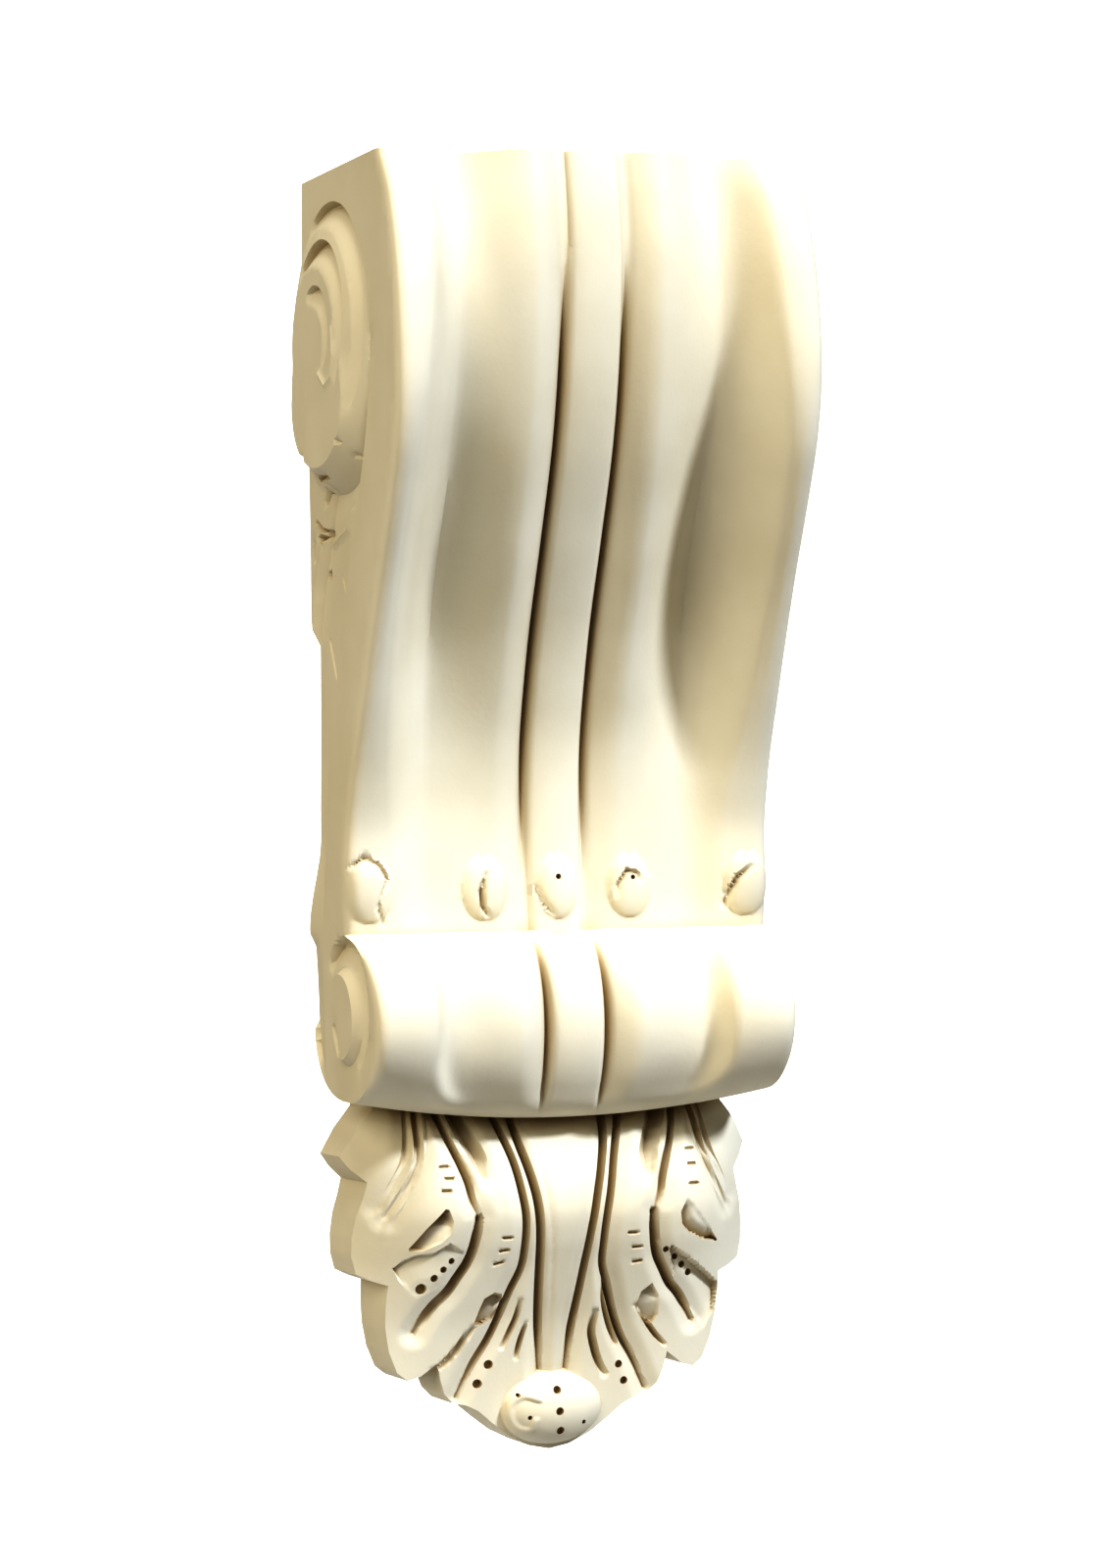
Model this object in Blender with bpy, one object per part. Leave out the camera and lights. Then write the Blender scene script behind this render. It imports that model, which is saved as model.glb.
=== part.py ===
"""Scroll corbel with a fluted front and a leaf pendant, cast in one piece.

Lengths are in metres, +Z is up and the front looks toward -Y. The back lies on the plane Y = 0, and the
origin is the middle of the back. The carving is drawn at a nominal size in millimetres and then takes the
three overall sizes below.
"""
import math

import bmesh
import bpy
import numpy as np
from mathutils import Vector
from mathutils.geometry import delaunay_2d_cdt

# Overall sizes: height, width of the front between its flat sides, and reach from the wall
HEIGHT = 0.602
WIDTH = 0.204
REACH = 0.158

# The same three sizes as the carving is drawn, in millimetres
NOMINAL_HEIGHT = 602.0
NOMINAL_WIDTH = 204.0
NOMINAL_REACH = 158.0

# Shaft and roll, in millimetres: heights from the middle, distances out from the wall
TOP = 300.0
CREASE = -57.0
ROLL_OUT = 55.0
ROLL_HEIGHT = -97.0
ROLL_REACH = 52.0
ROLL_RISE = 40.0
ROLL_DROP = 37.0
ROLL_SAG = 10.0
ROLL_START = math.radians(80)

# Ridges and hollows across the front, in millimetres from the middle
REED_EDGE = 14.5
GROOVE = 16.0
LIP = 17.5
INNER_CREST = 31.0
VALLEY = 62.0
CORNER_ROUND = 6.0
FACE_DIP = 2.0
REED_RISE = 5.0

# The same ridges on the roll, as distances behind its face
ROLL_VALLEY = 17.0
ROLL_CREST = 11.0
ROLL_LIP = 20.0
ROLL_GROOVE = 6.0
ROLL_STEP = 74.0
FLUTE_END = 49.0
FLUTE_END_LIMIT = 96.0

# How closely the surfaces are drawn, in millimetres, and how far body and leaf run on behind the wall
ROW_STEP = 9.0
PETAL_ROW_STEP = 5.0
ROLL_ROWS = 15
BACK_ROWS = 4
SIDE_STEP = 10.5
LEAF_STEP = 7.0
BEHIND_WALL = 4.0
LEAF_BEHIND_WALL = 3.0

# Profiles down the shaft: height in millimetres, then distance out from the wall
EDGE_PROFILE = ((300, 127), (285, 139), (268, 147), (250, 152.5), (231, 156), (210, 157.5), (188, 156),
                (166, 150), (145, 140), (101, 116), (57, 94), (13, 73.5), (-9, 67), (-30, 66), (-57, 63))
LIP_PROFILE = ((300, 128), (280, 131), (257, 132.5), (235, 131), (213, 127.5), (191, 122.5), (169, 115.5),
               (125, 95.5), (81, 74.5), (58, 66), (35, 59), (13, 55.5), (-10, 54), (-57, 57))
VALLEY_PROFILE = ((300, 114), (285, 119), (268, 124), (250, 127), (231, 127.5), (210, 124.5), (188, 117),
                  (145, 94.5), (101, 72), (79, 65), (57, 60.5), (13, 56.5), (-57, 57))
CREST_RISE = ((300, 7), (260, 9), (200, 10), (150, 11), (100, 12), (50, 10), (10, 7), (-57, 4))
GROOVE_DEPTH = ((300, 1), (250, 2.5), (210, 6), (150, 9), (60, 8), (10, 5), (-25, 2), (-57, 1.5))

# Widths down the shaft: height, then distance from the middle to the outer ridge and to the flat side
OUTER_CREST = ((300, 84), (230, 86), (160, 91), (100, 92), (40, 89), (0, 84), (-57, 78))
HALF_WIDTH = ((300, 101), (240, 102), (120, 102), (40, 103), (-10, 104), (-50, 104), (-70, 103), (-140, 102))

# Buds above the roll: place across and half width of each, then their common height and size
PETALS = ((0.0, 9.5), (35.0, 10.5), (91.0, 11.0))
PETAL_HEIGHT = -36.0
PETAL_HALF = 15.0
PETAL_RISE = 4.5

# Side scrolls: centre as distance out and height, and radius
UPPER_CENTRE = (47.0, 219.0)
UPPER_RADIUS = 62.0
UPPER_BULGE = 8.5
LOWER_CENTRE = (57.0, -94.0)
LOWER_RADIUS = 38.0
BOSS_EDGE = (0.50, 0.62)
BOSS_RISE = 4.0
# Channels of the side scrolls: ring, width as shares of the radius, depth, then the turns at both ends
UPPER_CHANNELS = ((0.95, 0.12, 4.5, -0.75, 2.4), (0.67, 0.12, 5.0, -0.95, 2.3), (0.35, 0.09, 4.5, -0.7, 2.6))
LOWER_CHANNELS = ((0.84, 0.20, 6.0, -0.9, 2.6),)
CHANNEL_DRIFT = 0.05

# Sunk ground of the side below the upper scroll, and the husk that stands on it by the wall
BAND_PROFILE = ((300, 118), (257, 116), (213, 113), (169, 101), (148, 90), (122, 76), (95, 63), (60, 49),
                (10, 35), (-60, 26))
GROUND_SINK = 6.5
GROUND_SLOPE = 8.0
GROUND_FADE = (-60.0, -10.0)
GROUND_TOP = 205.0
HUSK_EDGE = ((80, 0), (107, 11), (165, 43))
HUSK_RISE = 4.5
HUSK_SLOPE = 4.0
NECK = (-62.0, -56.0)
NECK_SINK = 2.5
NECK_REACH = 20.0

# Leaf below the roll: outline of its right half and its carved lines, as places across and heights
LEAF_OUTLINE = ((84, -112), (86, -138), (94, -148), (101, -160), (97, -166), (91, -172), (93, -180),
                (95.5, -188), (97, -198), (97, -207), (95, -215), (89, -218), (82, -220.5), (82.5, -230),
                (82, -241), (80, -252), (76, -262), (71, -266), (65, -264), (57, -258), (55.5, -266),
                (53, -273), (48, -278), (42, -279), (36, -282), (29, -288), (20, -295), (10, -300))
LEAF_FOOT = (0.0, -302.0)
LEAF_MIDDLE = ((-112, 40), (-138, 46), (-148, 54), (-160, 61), (-175, 66), (-188, 66.5), (-200, 63),
               (-213, 57), (-225, 51.5), (-240, 45), (-255, 40.5), (-270, 37), (-290, 33), (-305, 30))
LEAF_EDGE_LEVEL = 24.0
LEAF_FALL_START = 58.0
LEAF_FALL_END = 105.0
LEAF_LEAST = 10.0
MIDRIB = ((24, -128), (21, -157), (15.5, -184), (13, -198), (9.5, -225), (7.5, -245), (6.5, -262))
INNER_VEIN = ((36, -128), (27, -160), (22, -184), (20, -205), (24, -228), (31, -243), (38, -256), (46, -273))
LEAFLET_SPLIT = ((60, -128), (57.5, -143), (51, -162), (44, -177), (43.5, -195), (46, -206), (50.5, -217),
                 (60, -232), (67, -243))
OUTER_VEIN = ((70, -135), (74, -165), (78, -178), (86, -197))
UPPER_EYE = ((60, -185), (68, -195), (75, -205))
LOWER_EYE = ((36, -226), (44, -242), (52, -252), (58, -260))
# Each carved line with its depth and half its width
VEINS = ((MIDRIB, 5.5, 3.6), (INNER_VEIN, 5.5, 3.6), (LEAFLET_SPLIT, 8.0, 4.5), (OUTER_VEIN, 3.5, 3.4),
         (UPPER_EYE, 5.5, 4.2), (LOWER_EYE, 5.0, 3.8))
FOLD = ((54, -205), (62, -209), (71, -214), (82, -219))
FOLD_RISE = 4.0
FOLD_HALF = 5.0
LEAFLET_SWELL = 2.5
SWELL_WIDTH = 9.0
TIP_CENTRE = (0.0, 29.0, -281.0)
TIP_SIZE = (27.0, 18.5, 19.0)

# Block that cuts everything off flat at the wall, in metres
WALL_BLOCK = 0.05


def curve(nodes, at):
    """Smooth curve through the nodes, held level past both ends."""
    nodes = sorted(nodes)
    xs = np.array([n[0] for n in nodes], float)
    ys = np.array([n[1] for n in nodes], float)
    slopes = np.gradient(ys, xs)
    at = np.clip(np.asarray(at, float), xs[0], xs[-1])
    i = np.clip(np.searchsorted(xs, at) - 1, 0, len(xs) - 2)
    span = xs[i + 1] - xs[i]
    t = (at - xs[i]) / span
    start = (1 + 2 * t) * (1 - t) ** 2 * ys[i]
    end = t * t * (3 - 2 * t) * ys[i + 1]
    bend = span * (t * (1 - t) ** 2 * slopes[i] + t * t * (t - 1) * slopes[i + 1])
    return start + end + bend


def ease(low, high, value):
    """Rises smoothly from 0 at low to 1 at high."""
    t = np.clip((np.asarray(value, float) - low) / (high - low), 0.0, 1.0)
    return t * t * (3 - 2 * t)


def ramp(low, high, value):
    """Rises in a straight line from 0 at low to 1 at high."""
    return np.clip((np.asarray(value, float) - low) / (high - low), 0.0, 1.0)


def section(x, edge, valley, crest, lip, groove, outer):
    """Distance out at x across the front, from the levels of its ridges and hollows."""
    half = NOMINAL_WIDTH / 2
    ax = np.abs(x)
    reed = lip + REED_RISE * np.sqrt(np.clip(1 - (ax / (REED_EDGE + 1.0)) ** 2, 0, 1))
    gap = lip - groove * np.clip(1 - np.abs(ax - GROOVE) / (GROOVE - REED_EDGE), 0, 1)
    rise = lip + (crest - lip) * np.sin(0.5 * math.pi * ramp(LIP, INNER_CREST, ax))
    down = 0.7 * ease(INNER_CREST, VALLEY, ax) + 0.3 * ramp(INNER_CREST, VALLEY, ax)
    fall = crest + (valley - crest) * down
    up = 0.45 * ease(VALLEY, outer, ax) + 0.55 * ramp(VALLEY, outer, ax)
    climb = valley + (edge - FACE_DIP - valley) * up
    face = edge - FACE_DIP * (1 - ramp(outer, half - CORNER_ROUND, ax)) ** 2
    c = ramp(half - CORNER_ROUND, half, ax)
    corner = edge - CORNER_ROUND * (1 - np.sqrt(np.clip(1 - c * c, 0, 1)))
    out = np.where(ax < REED_EDGE, reed, gap)
    out = np.where(ax > LIP, rise, out)
    out = np.where(ax > INNER_CREST, fall, out)
    out = np.where(ax > VALLEY, climb, out)
    out = np.where(ax > outer, face, out)
    return np.where(ax > half - CORNER_ROUND, corner, out)


def shaft(x, z):
    """Distance out of the fluted shaft at x and height z."""
    lip = curve(LIP_PROFILE, z)
    out = section(x, curve(EDGE_PROFILE, z), curve(VALLEY_PROFILE, z), lip + curve(CREST_RISE, z), lip,
                  curve(GROOVE_DEPTH, z), curve(OUTER_CREST, z))
    return out + petals(x, z)


def petals(x, z):
    """The row of small buds just above the roll."""
    rise = np.zeros(np.broadcast(x, z).shape)
    for centre, half in PETALS:
        u = (np.abs(x) - centre) / half
        v = np.abs((z - PETAL_HEIGHT) / PETAL_HALF)
        rise = np.maximum(rise, PETAL_RISE * np.clip(1 - u * u - v ** 2.2, 0, 1) ** 0.6)
    return rise


def roll_point(x, angle):
    """A point of the roll, as distance out and height, at x and an angle above level."""
    under = float(ease(0.35, 1.2, -angle))
    shift = (0.0, VALLEY - FLUTE_END, 0.0)
    ax = abs(x) + under * float(np.interp(abs(x), (REED_EDGE, FLUTE_END, FLUTE_END_LIMIT), shift))
    groove = ROLL_GROOVE * float(ease(-1.45, -0.9, angle))
    out = float(section(ax, 0.0, -ROLL_VALLEY, -ROLL_CREST, -ROLL_LIP, groove, ROLL_STEP))
    turned = float(ease(-1.5, -0.75, angle))
    reach = ROLL_REACH + out * (0.35 + 0.65 * turned) * float(1 - 0.25 * ease(0.9, 1.4, angle))
    rise = ROLL_RISE if angle > 0 else roll_drop(x)
    return ROLL_OUT + reach * math.cos(angle), ROLL_HEIGHT + rise * math.sin(angle)


def roll_drop(x):
    """How far the roll hangs below its centre: a little more in the middle than at the sides."""
    return ROLL_DROP + ROLL_SAG * (1 - (x / (NOMINAL_WIDTH / 2)) ** 2)


def across():
    """Places across the front at which the surface is drawn."""
    half = NOMINAL_WIDTH / 2
    stops = [0.0, REED_EDGE * 0.38, REED_EDGE * 0.72, REED_EDGE, GROOVE, LIP]
    stretches = ((LIP, INNER_CREST, 3), (INNER_CREST, VALLEY, 4), (VALLEY, half - CORNER_ROUND, 6))
    for start, end, pieces in stretches:
        stops.extend(start + (end - start) * k / pieces for k in range(1, pieces + 1))
    stops.extend((half - CORNER_ROUND * 0.37, half))
    return np.array([-s for s in reversed(stops[1:])] + stops)


def steps(start, end, step):
    """Values from start towards end, about one step apart, without the end itself."""
    count = max(1, round(abs(end - start) / step))
    return [start + (end - start) * i / count for i in range(count)]


def spread(z):
    """Width of the front at a height, as a share of the nominal width."""
    return float(curve(HALF_WIDTH, z)) / (NOMINAL_WIDTH / 2)


def front_rows():
    """The front, from the top edge over the shaft and around the roll back to the wall."""
    xs = across()
    rows = []
    petal_top = PETAL_HEIGHT + PETAL_HALF
    for z in steps(TOP, petal_top, ROW_STEP) + steps(petal_top, CREASE, PETAL_ROW_STEP):
        rows.append([(x, float(shaft(x, z)), z) for x in xs])
    for j in range(ROLL_ROWS + 1):
        angle = ROLL_START + (-math.pi / 2 - ROLL_START) * j / ROLL_ROWS
        rows.append([(x,) + roll_point(x, angle) for x in xs])
    level = ROLL_HEIGHT - BEHIND_WALL
    for j in range(1, BACK_ROWS + 1):
        angle = math.pi / 2 * j / BACK_ROWS
        out = ROLL_OUT * (1 - math.sin(angle) ** 0.9)
        share = 1 - (1 - math.cos(angle)) ** 1.1
        rows.append([(x, out, level - (roll_drop(x) - BEHIND_WALL) * share) for x in xs])
    rows.append([(x, -BEHIND_WALL, level + 1.0) for x in xs])
    return [[(x * spread(z), out, z) for x, out, z in row] for row in rows]


def polar(out, z, centre, radius):
    """Angle from the top, clockwise as seen from the left, and distance as a share of the radius."""
    dx = np.asarray(out, float) - centre[0]
    dz = np.asarray(z, float) - centre[1]
    return np.arctan2(dx, dz), np.hypot(dx, dz) / radius


def on_ring(centre, radius, turn, share):
    """The point at a turn and a share of the radius."""
    return centre[0] + share * radius * math.sin(turn), centre[1] + share * radius * math.cos(turn)


def channel_swell(turn, start, end):
    """How open a channel is along its length: closed at both ends."""
    share = np.clip((np.asarray(turn, float) - start) / (end - start), 0, 1)
    return np.sin(math.pi * share ** 0.7) ** 0.8


def channels(turn, r, rings):
    """Depth of the channels of a scroll."""
    depth = np.zeros(np.broadcast(turn, r).shape)
    for ring, width, deep, start, end in rings:
        swell = channel_swell(turn, start, end)
        gap = np.abs(r - ring + CHANNEL_DRIFT * turn) / (width * (0.45 + 0.55 * swell))
        depth = np.maximum(depth, deep * swell * np.clip(1 - gap, 0, 1) ** 0.8)
    return depth


def channel_line(centre, radius, channel, offset, count=10):
    """Line along one channel, moved in or out by the offset in channel widths."""
    ring, width, depth, start, end = channel
    points = []
    for i in range(count):
        turn = start + (end - start) * (0.06 + 0.88 * i / (count - 1))
        swell = float(channel_swell(turn, start, end))
        share = ring - CHANNEL_DRIFT * turn + offset * width * (0.45 + 0.55 * swell)
        points.append(on_ring(centre, radius, turn, share))
    return points


def dome_edge(turn):
    """Shares of the radius where the upper scroll starts to fall and where it has ended: steeper below."""
    low = ease(-0.4, 0.6, -np.cos(turn))
    return 0.62 + 0.31 * low, 1.03 + 0.02 * low


def ground_gap(out, z):
    """How far a point of the side lies within the sunk ground, negative outside it."""
    turn, r = polar(out, z, UPPER_CENTRE, UPPER_RADIUS)
    from_scroll = (r - dome_edge(turn)[1]) * UPPER_RADIUS
    from_band = (curve(BAND_PROFILE, z) - np.asarray(out, float)) * 0.85
    return np.where(np.asarray(z) < UPPER_CENTRE[1], np.minimum(from_scroll, from_band), -1.0)


def husk_gap(out, z):
    """How far a point of the side lies within the husk, negative outside it."""
    heights = [n[0] for n in HUSK_EDGE]
    places = [n[1] for n in HUSK_EDGE]
    return (np.interp(z, heights, places, left=-2 * BEHIND_WALL) - np.asarray(out, float)) * 0.85


def side_relief(out, z):
    """How far the side stands beyond its flat plane, at distance out from the wall and height z."""
    turn, r = polar(out, z, UPPER_CENTRE, UPPER_RADIUS)
    start, end = dome_edge(turn)
    upper = UPPER_BULGE * (1 - ramp(start, end, r)) - channels(turn, r, UPPER_CHANNELS)
    sunk = ramp(0, GROUND_SLOPE, ground_gap(out, z)) * ease(*GROUND_FADE, z)
    upper = upper - GROUND_SINK * sunk + HUSK_RISE * ramp(0, HUSK_SLOPE, husk_gap(out, z)) * sunk
    turn, r = polar(out, z, LOWER_CENTRE, LOWER_RADIUS)
    lower = BOSS_RISE * (1 - ramp(*BOSS_EDGE, r)) - channels(turn, r, LOWER_CHANNELS)
    lower = lower - NECK_SINK * (1 - ease(0, NECK_REACH, out))
    return lower + (upper - lower) * ramp(*NECK, z)


def side_lines():
    """Lines of the side's carving that the surface keeps as edges."""
    lines = []
    for centre, radius, rings in ((UPPER_CENTRE, UPPER_RADIUS, UPPER_CHANNELS),
                                  (LOWER_CENTRE, LOWER_RADIUS, LOWER_CHANNELS)):
        for ring in rings:
            lines.extend(channel_line(centre, radius, ring, offset) for offset in (-1.0, 0.0, 1.0))
    for share in BOSS_EDGE:
        lines.append([on_ring(LOWER_CENTRE, LOWER_RADIUS, t * math.pi / 7, share) for t in range(15)])
    low_turns = [math.pi / 2 + 0.12 * k for k in range(2, 22)]
    lines.append([on_ring(UPPER_CENTRE, UPPER_RADIUS, t, float(dome_edge(t)[0])) for t in low_turns])
    for gap in (0.0, GROUND_SLOPE):
        arc = []
        for turn in low_turns:
            share = float(dome_edge(turn)[1]) + gap / UPPER_RADIUS
            arc.append(on_ring(UPPER_CENTRE, UPPER_RADIUS, turn, share))
        lines.append([p for p in arc if ground_gap(*p) > gap - 0.5 and p[0] > -BEHIND_WALL + 2])
        heights = steps(GROUND_TOP, NECK[1] + 6, SIDE_STEP)
        side = [(float(curve(BAND_PROFILE, z)) - gap / 0.85, z) for z in heights]
        lines.append([p for p in side if ground_gap(*p) > gap - 0.5])
    for gap in (0.0, HUSK_SLOPE):
        edge = [(place - gap / 0.85, height) for height, place in HUSK_EDGE]
        lines.append([p for p in resample(edge, SIDE_STEP) if ground_gap(*p) > GROUND_SLOPE])
    return lines


def triangulate(outline, inner, lines):
    """Triangles filling a closed outline, using the given points and keeping the given lines as edges."""
    count = len(outline)
    points = [Vector(p) for p in outline] + [Vector(p) for p in inner]
    edges = [(i, (i + 1) % count) for i in range(count)]
    for line in lines:
        first = len(points)
        points.extend(Vector(p) for p in line)
        edges.extend((first + k, first + k + 1) for k in range(len(line) - 1))
    found = delaunay_2d_cdt(points, edges, [list(range(count))], 1, 1e-6)
    return [tuple(p) for p in found[0]], [tuple(f) for f in found[2]]


def inside(outline, point):
    """Whether a point lies within a closed outline."""
    hit = False
    for (ax, az), (bx, bz) in zip(outline, outline[1:] + outline[:1]):
        if (az > point[1]) != (bz > point[1]) and point[0] < (bx - ax) * (point[1] - az) / (bz - az) + ax:
            hit = not hit
    return hit


def clear_of(outline, point, gap):
    """Whether a point keeps at least the gap from every corner and edge of an outline."""
    for (ax, az), (bx, bz) in zip(outline, outline[1:] + outline[:1]):
        ex, ez = bx - ax, bz - az
        t = ((point[0] - ax) * ex + (point[1] - az) * ez) / max(ex * ex + ez * ez, 1e-9)
        t = max(0.0, min(1.0, t))
        if math.hypot(point[0] - ax - t * ex, point[1] - az - t * ez) < gap:
            return False
    return True


def grid_inside(outline, step):
    """Staggered grid of points within an outline, kept off its edge."""
    low_x, high_x = min(p[0] for p in outline), max(p[0] for p in outline)
    low_z, high_z = min(p[1] for p in outline), max(p[1] for p in outline)
    points = []
    rows = int((high_z - low_z) / (step * 0.866)) + 1
    for j in range(rows):
        z = low_z + step * 0.4 + j * step * 0.866
        shift = step * 0.5 * (j % 2)
        for i in range(int((high_x - low_x) / step) + 2):
            point = (low_x + shift + i * step + 0.13, z)
            if inside(outline, point) and clear_of(outline, point, step * 0.45):
                points.append(point)
    return points


def resample(path, step):
    """The same line with corners about one step apart."""
    points = [path[0]]
    for (ax, az), (bx, bz) in zip(path, path[1:]):
        pieces = max(1, round(math.hypot(bx - ax, bz - az) / step))
        for i in range(1, pieces + 1):
            points.append((ax + (bx - ax) * i / pieces, az + (bz - az) * i / pieces))
    return points


def beside(path, offset):
    """The line moved sideways by the offset."""
    points = []
    last = len(path) - 1
    for k, (x, z) in enumerate(path):
        (ax, az), (bx, bz) = path[max(0, k - 1)], path[min(last, k + 1)]
        length = math.hypot(bx - ax, bz - az)
        points.append((x - (bz - az) / length * offset, z + (bx - ax) / length * offset))
    return points


def far_from(lines, point, gap):
    """Whether a point keeps the gap from every corner of the lines."""
    return all(math.dist(point, q) > gap for line in lines for q in line)


def body_mesh(rows):
    """Closed body: fluted front, two carved sides, flat top and flat back."""
    wide = len(rows[0])
    verts = [point for row in rows for point in row]
    faces = []
    for i in range(len(rows) - 1):
        for j in range(wide - 1):
            a = i * wide + j
            faces.append((a, a + wide, a + wide + 1, a + 1))
    front = [(row[-1][1], row[-1][2]) for row in rows]
    back = steps(front[-1][1], TOP, SIDE_STEP)[1:] + [TOP]
    top = steps(-BEHIND_WALL, front[0][0], SIDE_STEP)[1:]
    outline = front + [(-BEHIND_WALL, z) for z in back] + [(out, TOP) for out in top]
    lines = [line for line in side_lines() if all(inside(outline, p) for p in line)]
    lines = [line for line in lines if all(clear_of(outline, p, 1.5) for p in line)]
    kept = [p for p in grid_inside(outline, SIDE_STEP) if far_from(lines, p, SIDE_STEP * 0.42)]
    flat, triangles = triangulate(outline, kept, lines)
    starts = []
    for side in (-1, 1):
        base = len(verts)
        starts.append(base)
        for index, (out, z) in enumerate(flat):
            half = float(curve(HALF_WIDTH, z))
            if index >= len(front) and z < TOP - 1:
                half += float(side_relief(out, z))
            verts.append((side * half, out, z))
        for triangle in triangles:
            triangle = [base + k for k in triangle]
            faces.append(tuple(triangle) if side < 0 else tuple(reversed(triangle)))
    up = list(range(len(front), len(front) + len(back)))
    over = list(range(up[-1], len(outline)))
    last_row = (len(rows) - 1) * wide
    faces.append(flat_face(range(wide), over[::-1], starts))
    faces.append(flat_face(range(last_row, last_row + wide), up, starts))
    return verts, faces


def flat_face(row, along, starts):
    """One flat face between a row of the front and the same run of border points on both sides."""
    left, right = starts
    return tuple(row) + tuple(right + k for k in along) + tuple(left + k for k in reversed(along))


def to_metres(point):
    """A point drawn as place across, distance out and height, at the real size."""
    x, out, z = point
    return x * WIDTH / NOMINAL_WIDTH, -out * REACH / NOMINAL_REACH, z * HEIGHT / NOMINAL_HEIGHT


def make_object(name, verts, faces, collection):
    """Object from drawn points."""
    mesh = bpy.data.meshes.new(name)
    mesh.from_pydata([to_metres(point) for point in verts], [], faces)
    bm = bmesh.new()
    bm.from_mesh(mesh)
    bmesh.ops.remove_doubles(bm, verts=bm.verts, dist=2e-6)
    bmesh.ops.triangulate(bm, faces=[f for f in bm.faces if len(f.verts) > 3])
    bmesh.ops.recalc_face_normals(bm, faces=bm.faces)
    bm.to_mesh(mesh)
    bm.free()
    thing = bpy.data.objects.new(name, mesh)
    collection.objects.link(thing)
    return thing


def path_distance(path, x, z):
    """Distance from the points to a line of straight pieces, and how far along it the nearest place is."""
    x = np.asarray(x, float)
    z = np.asarray(z, float)
    best = np.full(x.shape, 1e9)
    along = np.zeros(x.shape)
    pieces = len(path) - 1
    for k, ((ax, az), (bx, bz)) in enumerate(zip(path, path[1:])):
        ex, ez = bx - ax, bz - az
        t = np.clip(((x - ax) * ex + (z - az) * ez) / (ex * ex + ez * ez), 0, 1)
        gap = np.hypot(x - ax - t * ex, z - az - t * ez)
        nearer = gap < best
        best = np.where(nearer, gap, best)
        along = np.where(nearer, (k + t) / pieces, along)
    return best, along


def leaf_height(x, z):
    """Distance out of the leaf's carved front at x and height z."""
    ax = np.abs(x)
    out = curve(LEAF_MIDDLE, z)
    fall = np.clip((ax - LEAF_FALL_START) / (LEAF_FALL_END - LEAF_FALL_START), 0, 1.1) ** 1.7
    out = out - (out - LEAF_EDGE_LEVEL) * 0.95 * fall
    nearest = np.full(np.shape(ax), SWELL_WIDTH)
    for path, depth, half in VEINS:
        gap, along = path_distance(path, ax, z)
        out = out - depth * np.clip(1 - gap / half, 0, 1) * (1 - 0.6 * ease(0.75, 1.0, along))
        nearest = np.minimum(nearest, gap)
    out = out + LEAFLET_SWELL * (ease(0, SWELL_WIDTH, nearest) - 0.5)
    gap, along = path_distance(FOLD, ax, z)
    out = out + FOLD_RISE * np.clip(1 - gap / FOLD_HALF, 0, 1)
    return np.maximum(out, LEAF_LEAST)


def leaf_mesh():
    """Leaf: carved front, straight sides back to the wall and a flat back."""
    half = list(LEAF_OUTLINE)
    outline = half + [LEAF_FOOT] + [(-x, z) for x, z in reversed(half)]
    outline.reverse()
    lines = []
    for path, depth, reach in VEINS + ((FOLD, FOLD_RISE, FOLD_HALF),):
        for offset in (-reach, 0.0, reach):
            line = resample(beside(path, offset), LEAF_STEP)
            lines.append(line)
            lines.append([(-x, z) for x, z in line])
    lines = [line for line in lines if all(inside(outline, p) for p in line)]
    kept = [p for p in grid_inside(outline, LEAF_STEP) if far_from(lines, p, LEAF_STEP * 0.55)]
    flat, triangles = triangulate(outline, kept, lines)
    verts = [(x, float(leaf_height(x, z)), z) for x, z in flat]
    faces = [tuple(t) for t in triangles]
    base = len(verts)
    verts.extend((x, -LEAF_BEHIND_WALL, z) for x, z in outline)
    count = len(outline)
    for i in range(count):
        k = (i + 1) % count
        faces.append((i, base + i, base + k, k))
    faces.append(tuple(range(base, base + count)))
    return verts, faces


def object_from(bm, name, collection):
    """Object holding a finished bmesh."""
    mesh = bpy.data.meshes.new(name)
    bm.to_mesh(mesh)
    bm.free()
    thing = bpy.data.objects.new(name, mesh)
    collection.objects.link(thing)
    return thing


def leaf_tip(collection):
    """The curled end of the leaf: a flattened ball."""
    bm = bmesh.new()
    bmesh.ops.create_uvsphere(bm, u_segments=20, v_segments=12, radius=1.0)
    for v in bm.verts:
        v.co = Vector(to_metres([TIP_CENTRE[k] + TIP_SIZE[k] * v.co[k] for k in range(3)]))
    bmesh.ops.triangulate(bm, faces=bm.faces)
    bmesh.ops.recalc_face_normals(bm, faces=bm.faces)
    return object_from(bm, "leaf_tip", collection)


def wall_cut(collection):
    """Block standing where the wall is."""
    bm = bmesh.new()
    bmesh.ops.create_cube(bm, size=1.0)
    for v in bm.verts:
        v.co = Vector((v.co.x * WIDTH * 2, (v.co.y + 0.5) * WALL_BLOCK, v.co.z * HEIGHT * 2))
    return object_from(bm, "wall_cut", collection)


def combine(target, operation, other):
    """Adds an exact Boolean modifier to the target."""
    modifier = target.modifiers.new(operation.lower() + "_" + other.name, "BOOLEAN")
    modifier.operation = operation
    modifier.object = other
    modifier.solver = "EXACT"


def plaster():
    """Cream cast plaster."""
    material = bpy.data.materials.new("cast_plaster")
    material.use_nodes = True
    shader = material.node_tree.nodes["Principled BSDF"]
    shader.inputs["Base Color"].default_value = (0.80, 0.74, 0.60, 1.0)
    shader.inputs["Roughness"].default_value = 0.85
    return material


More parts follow.
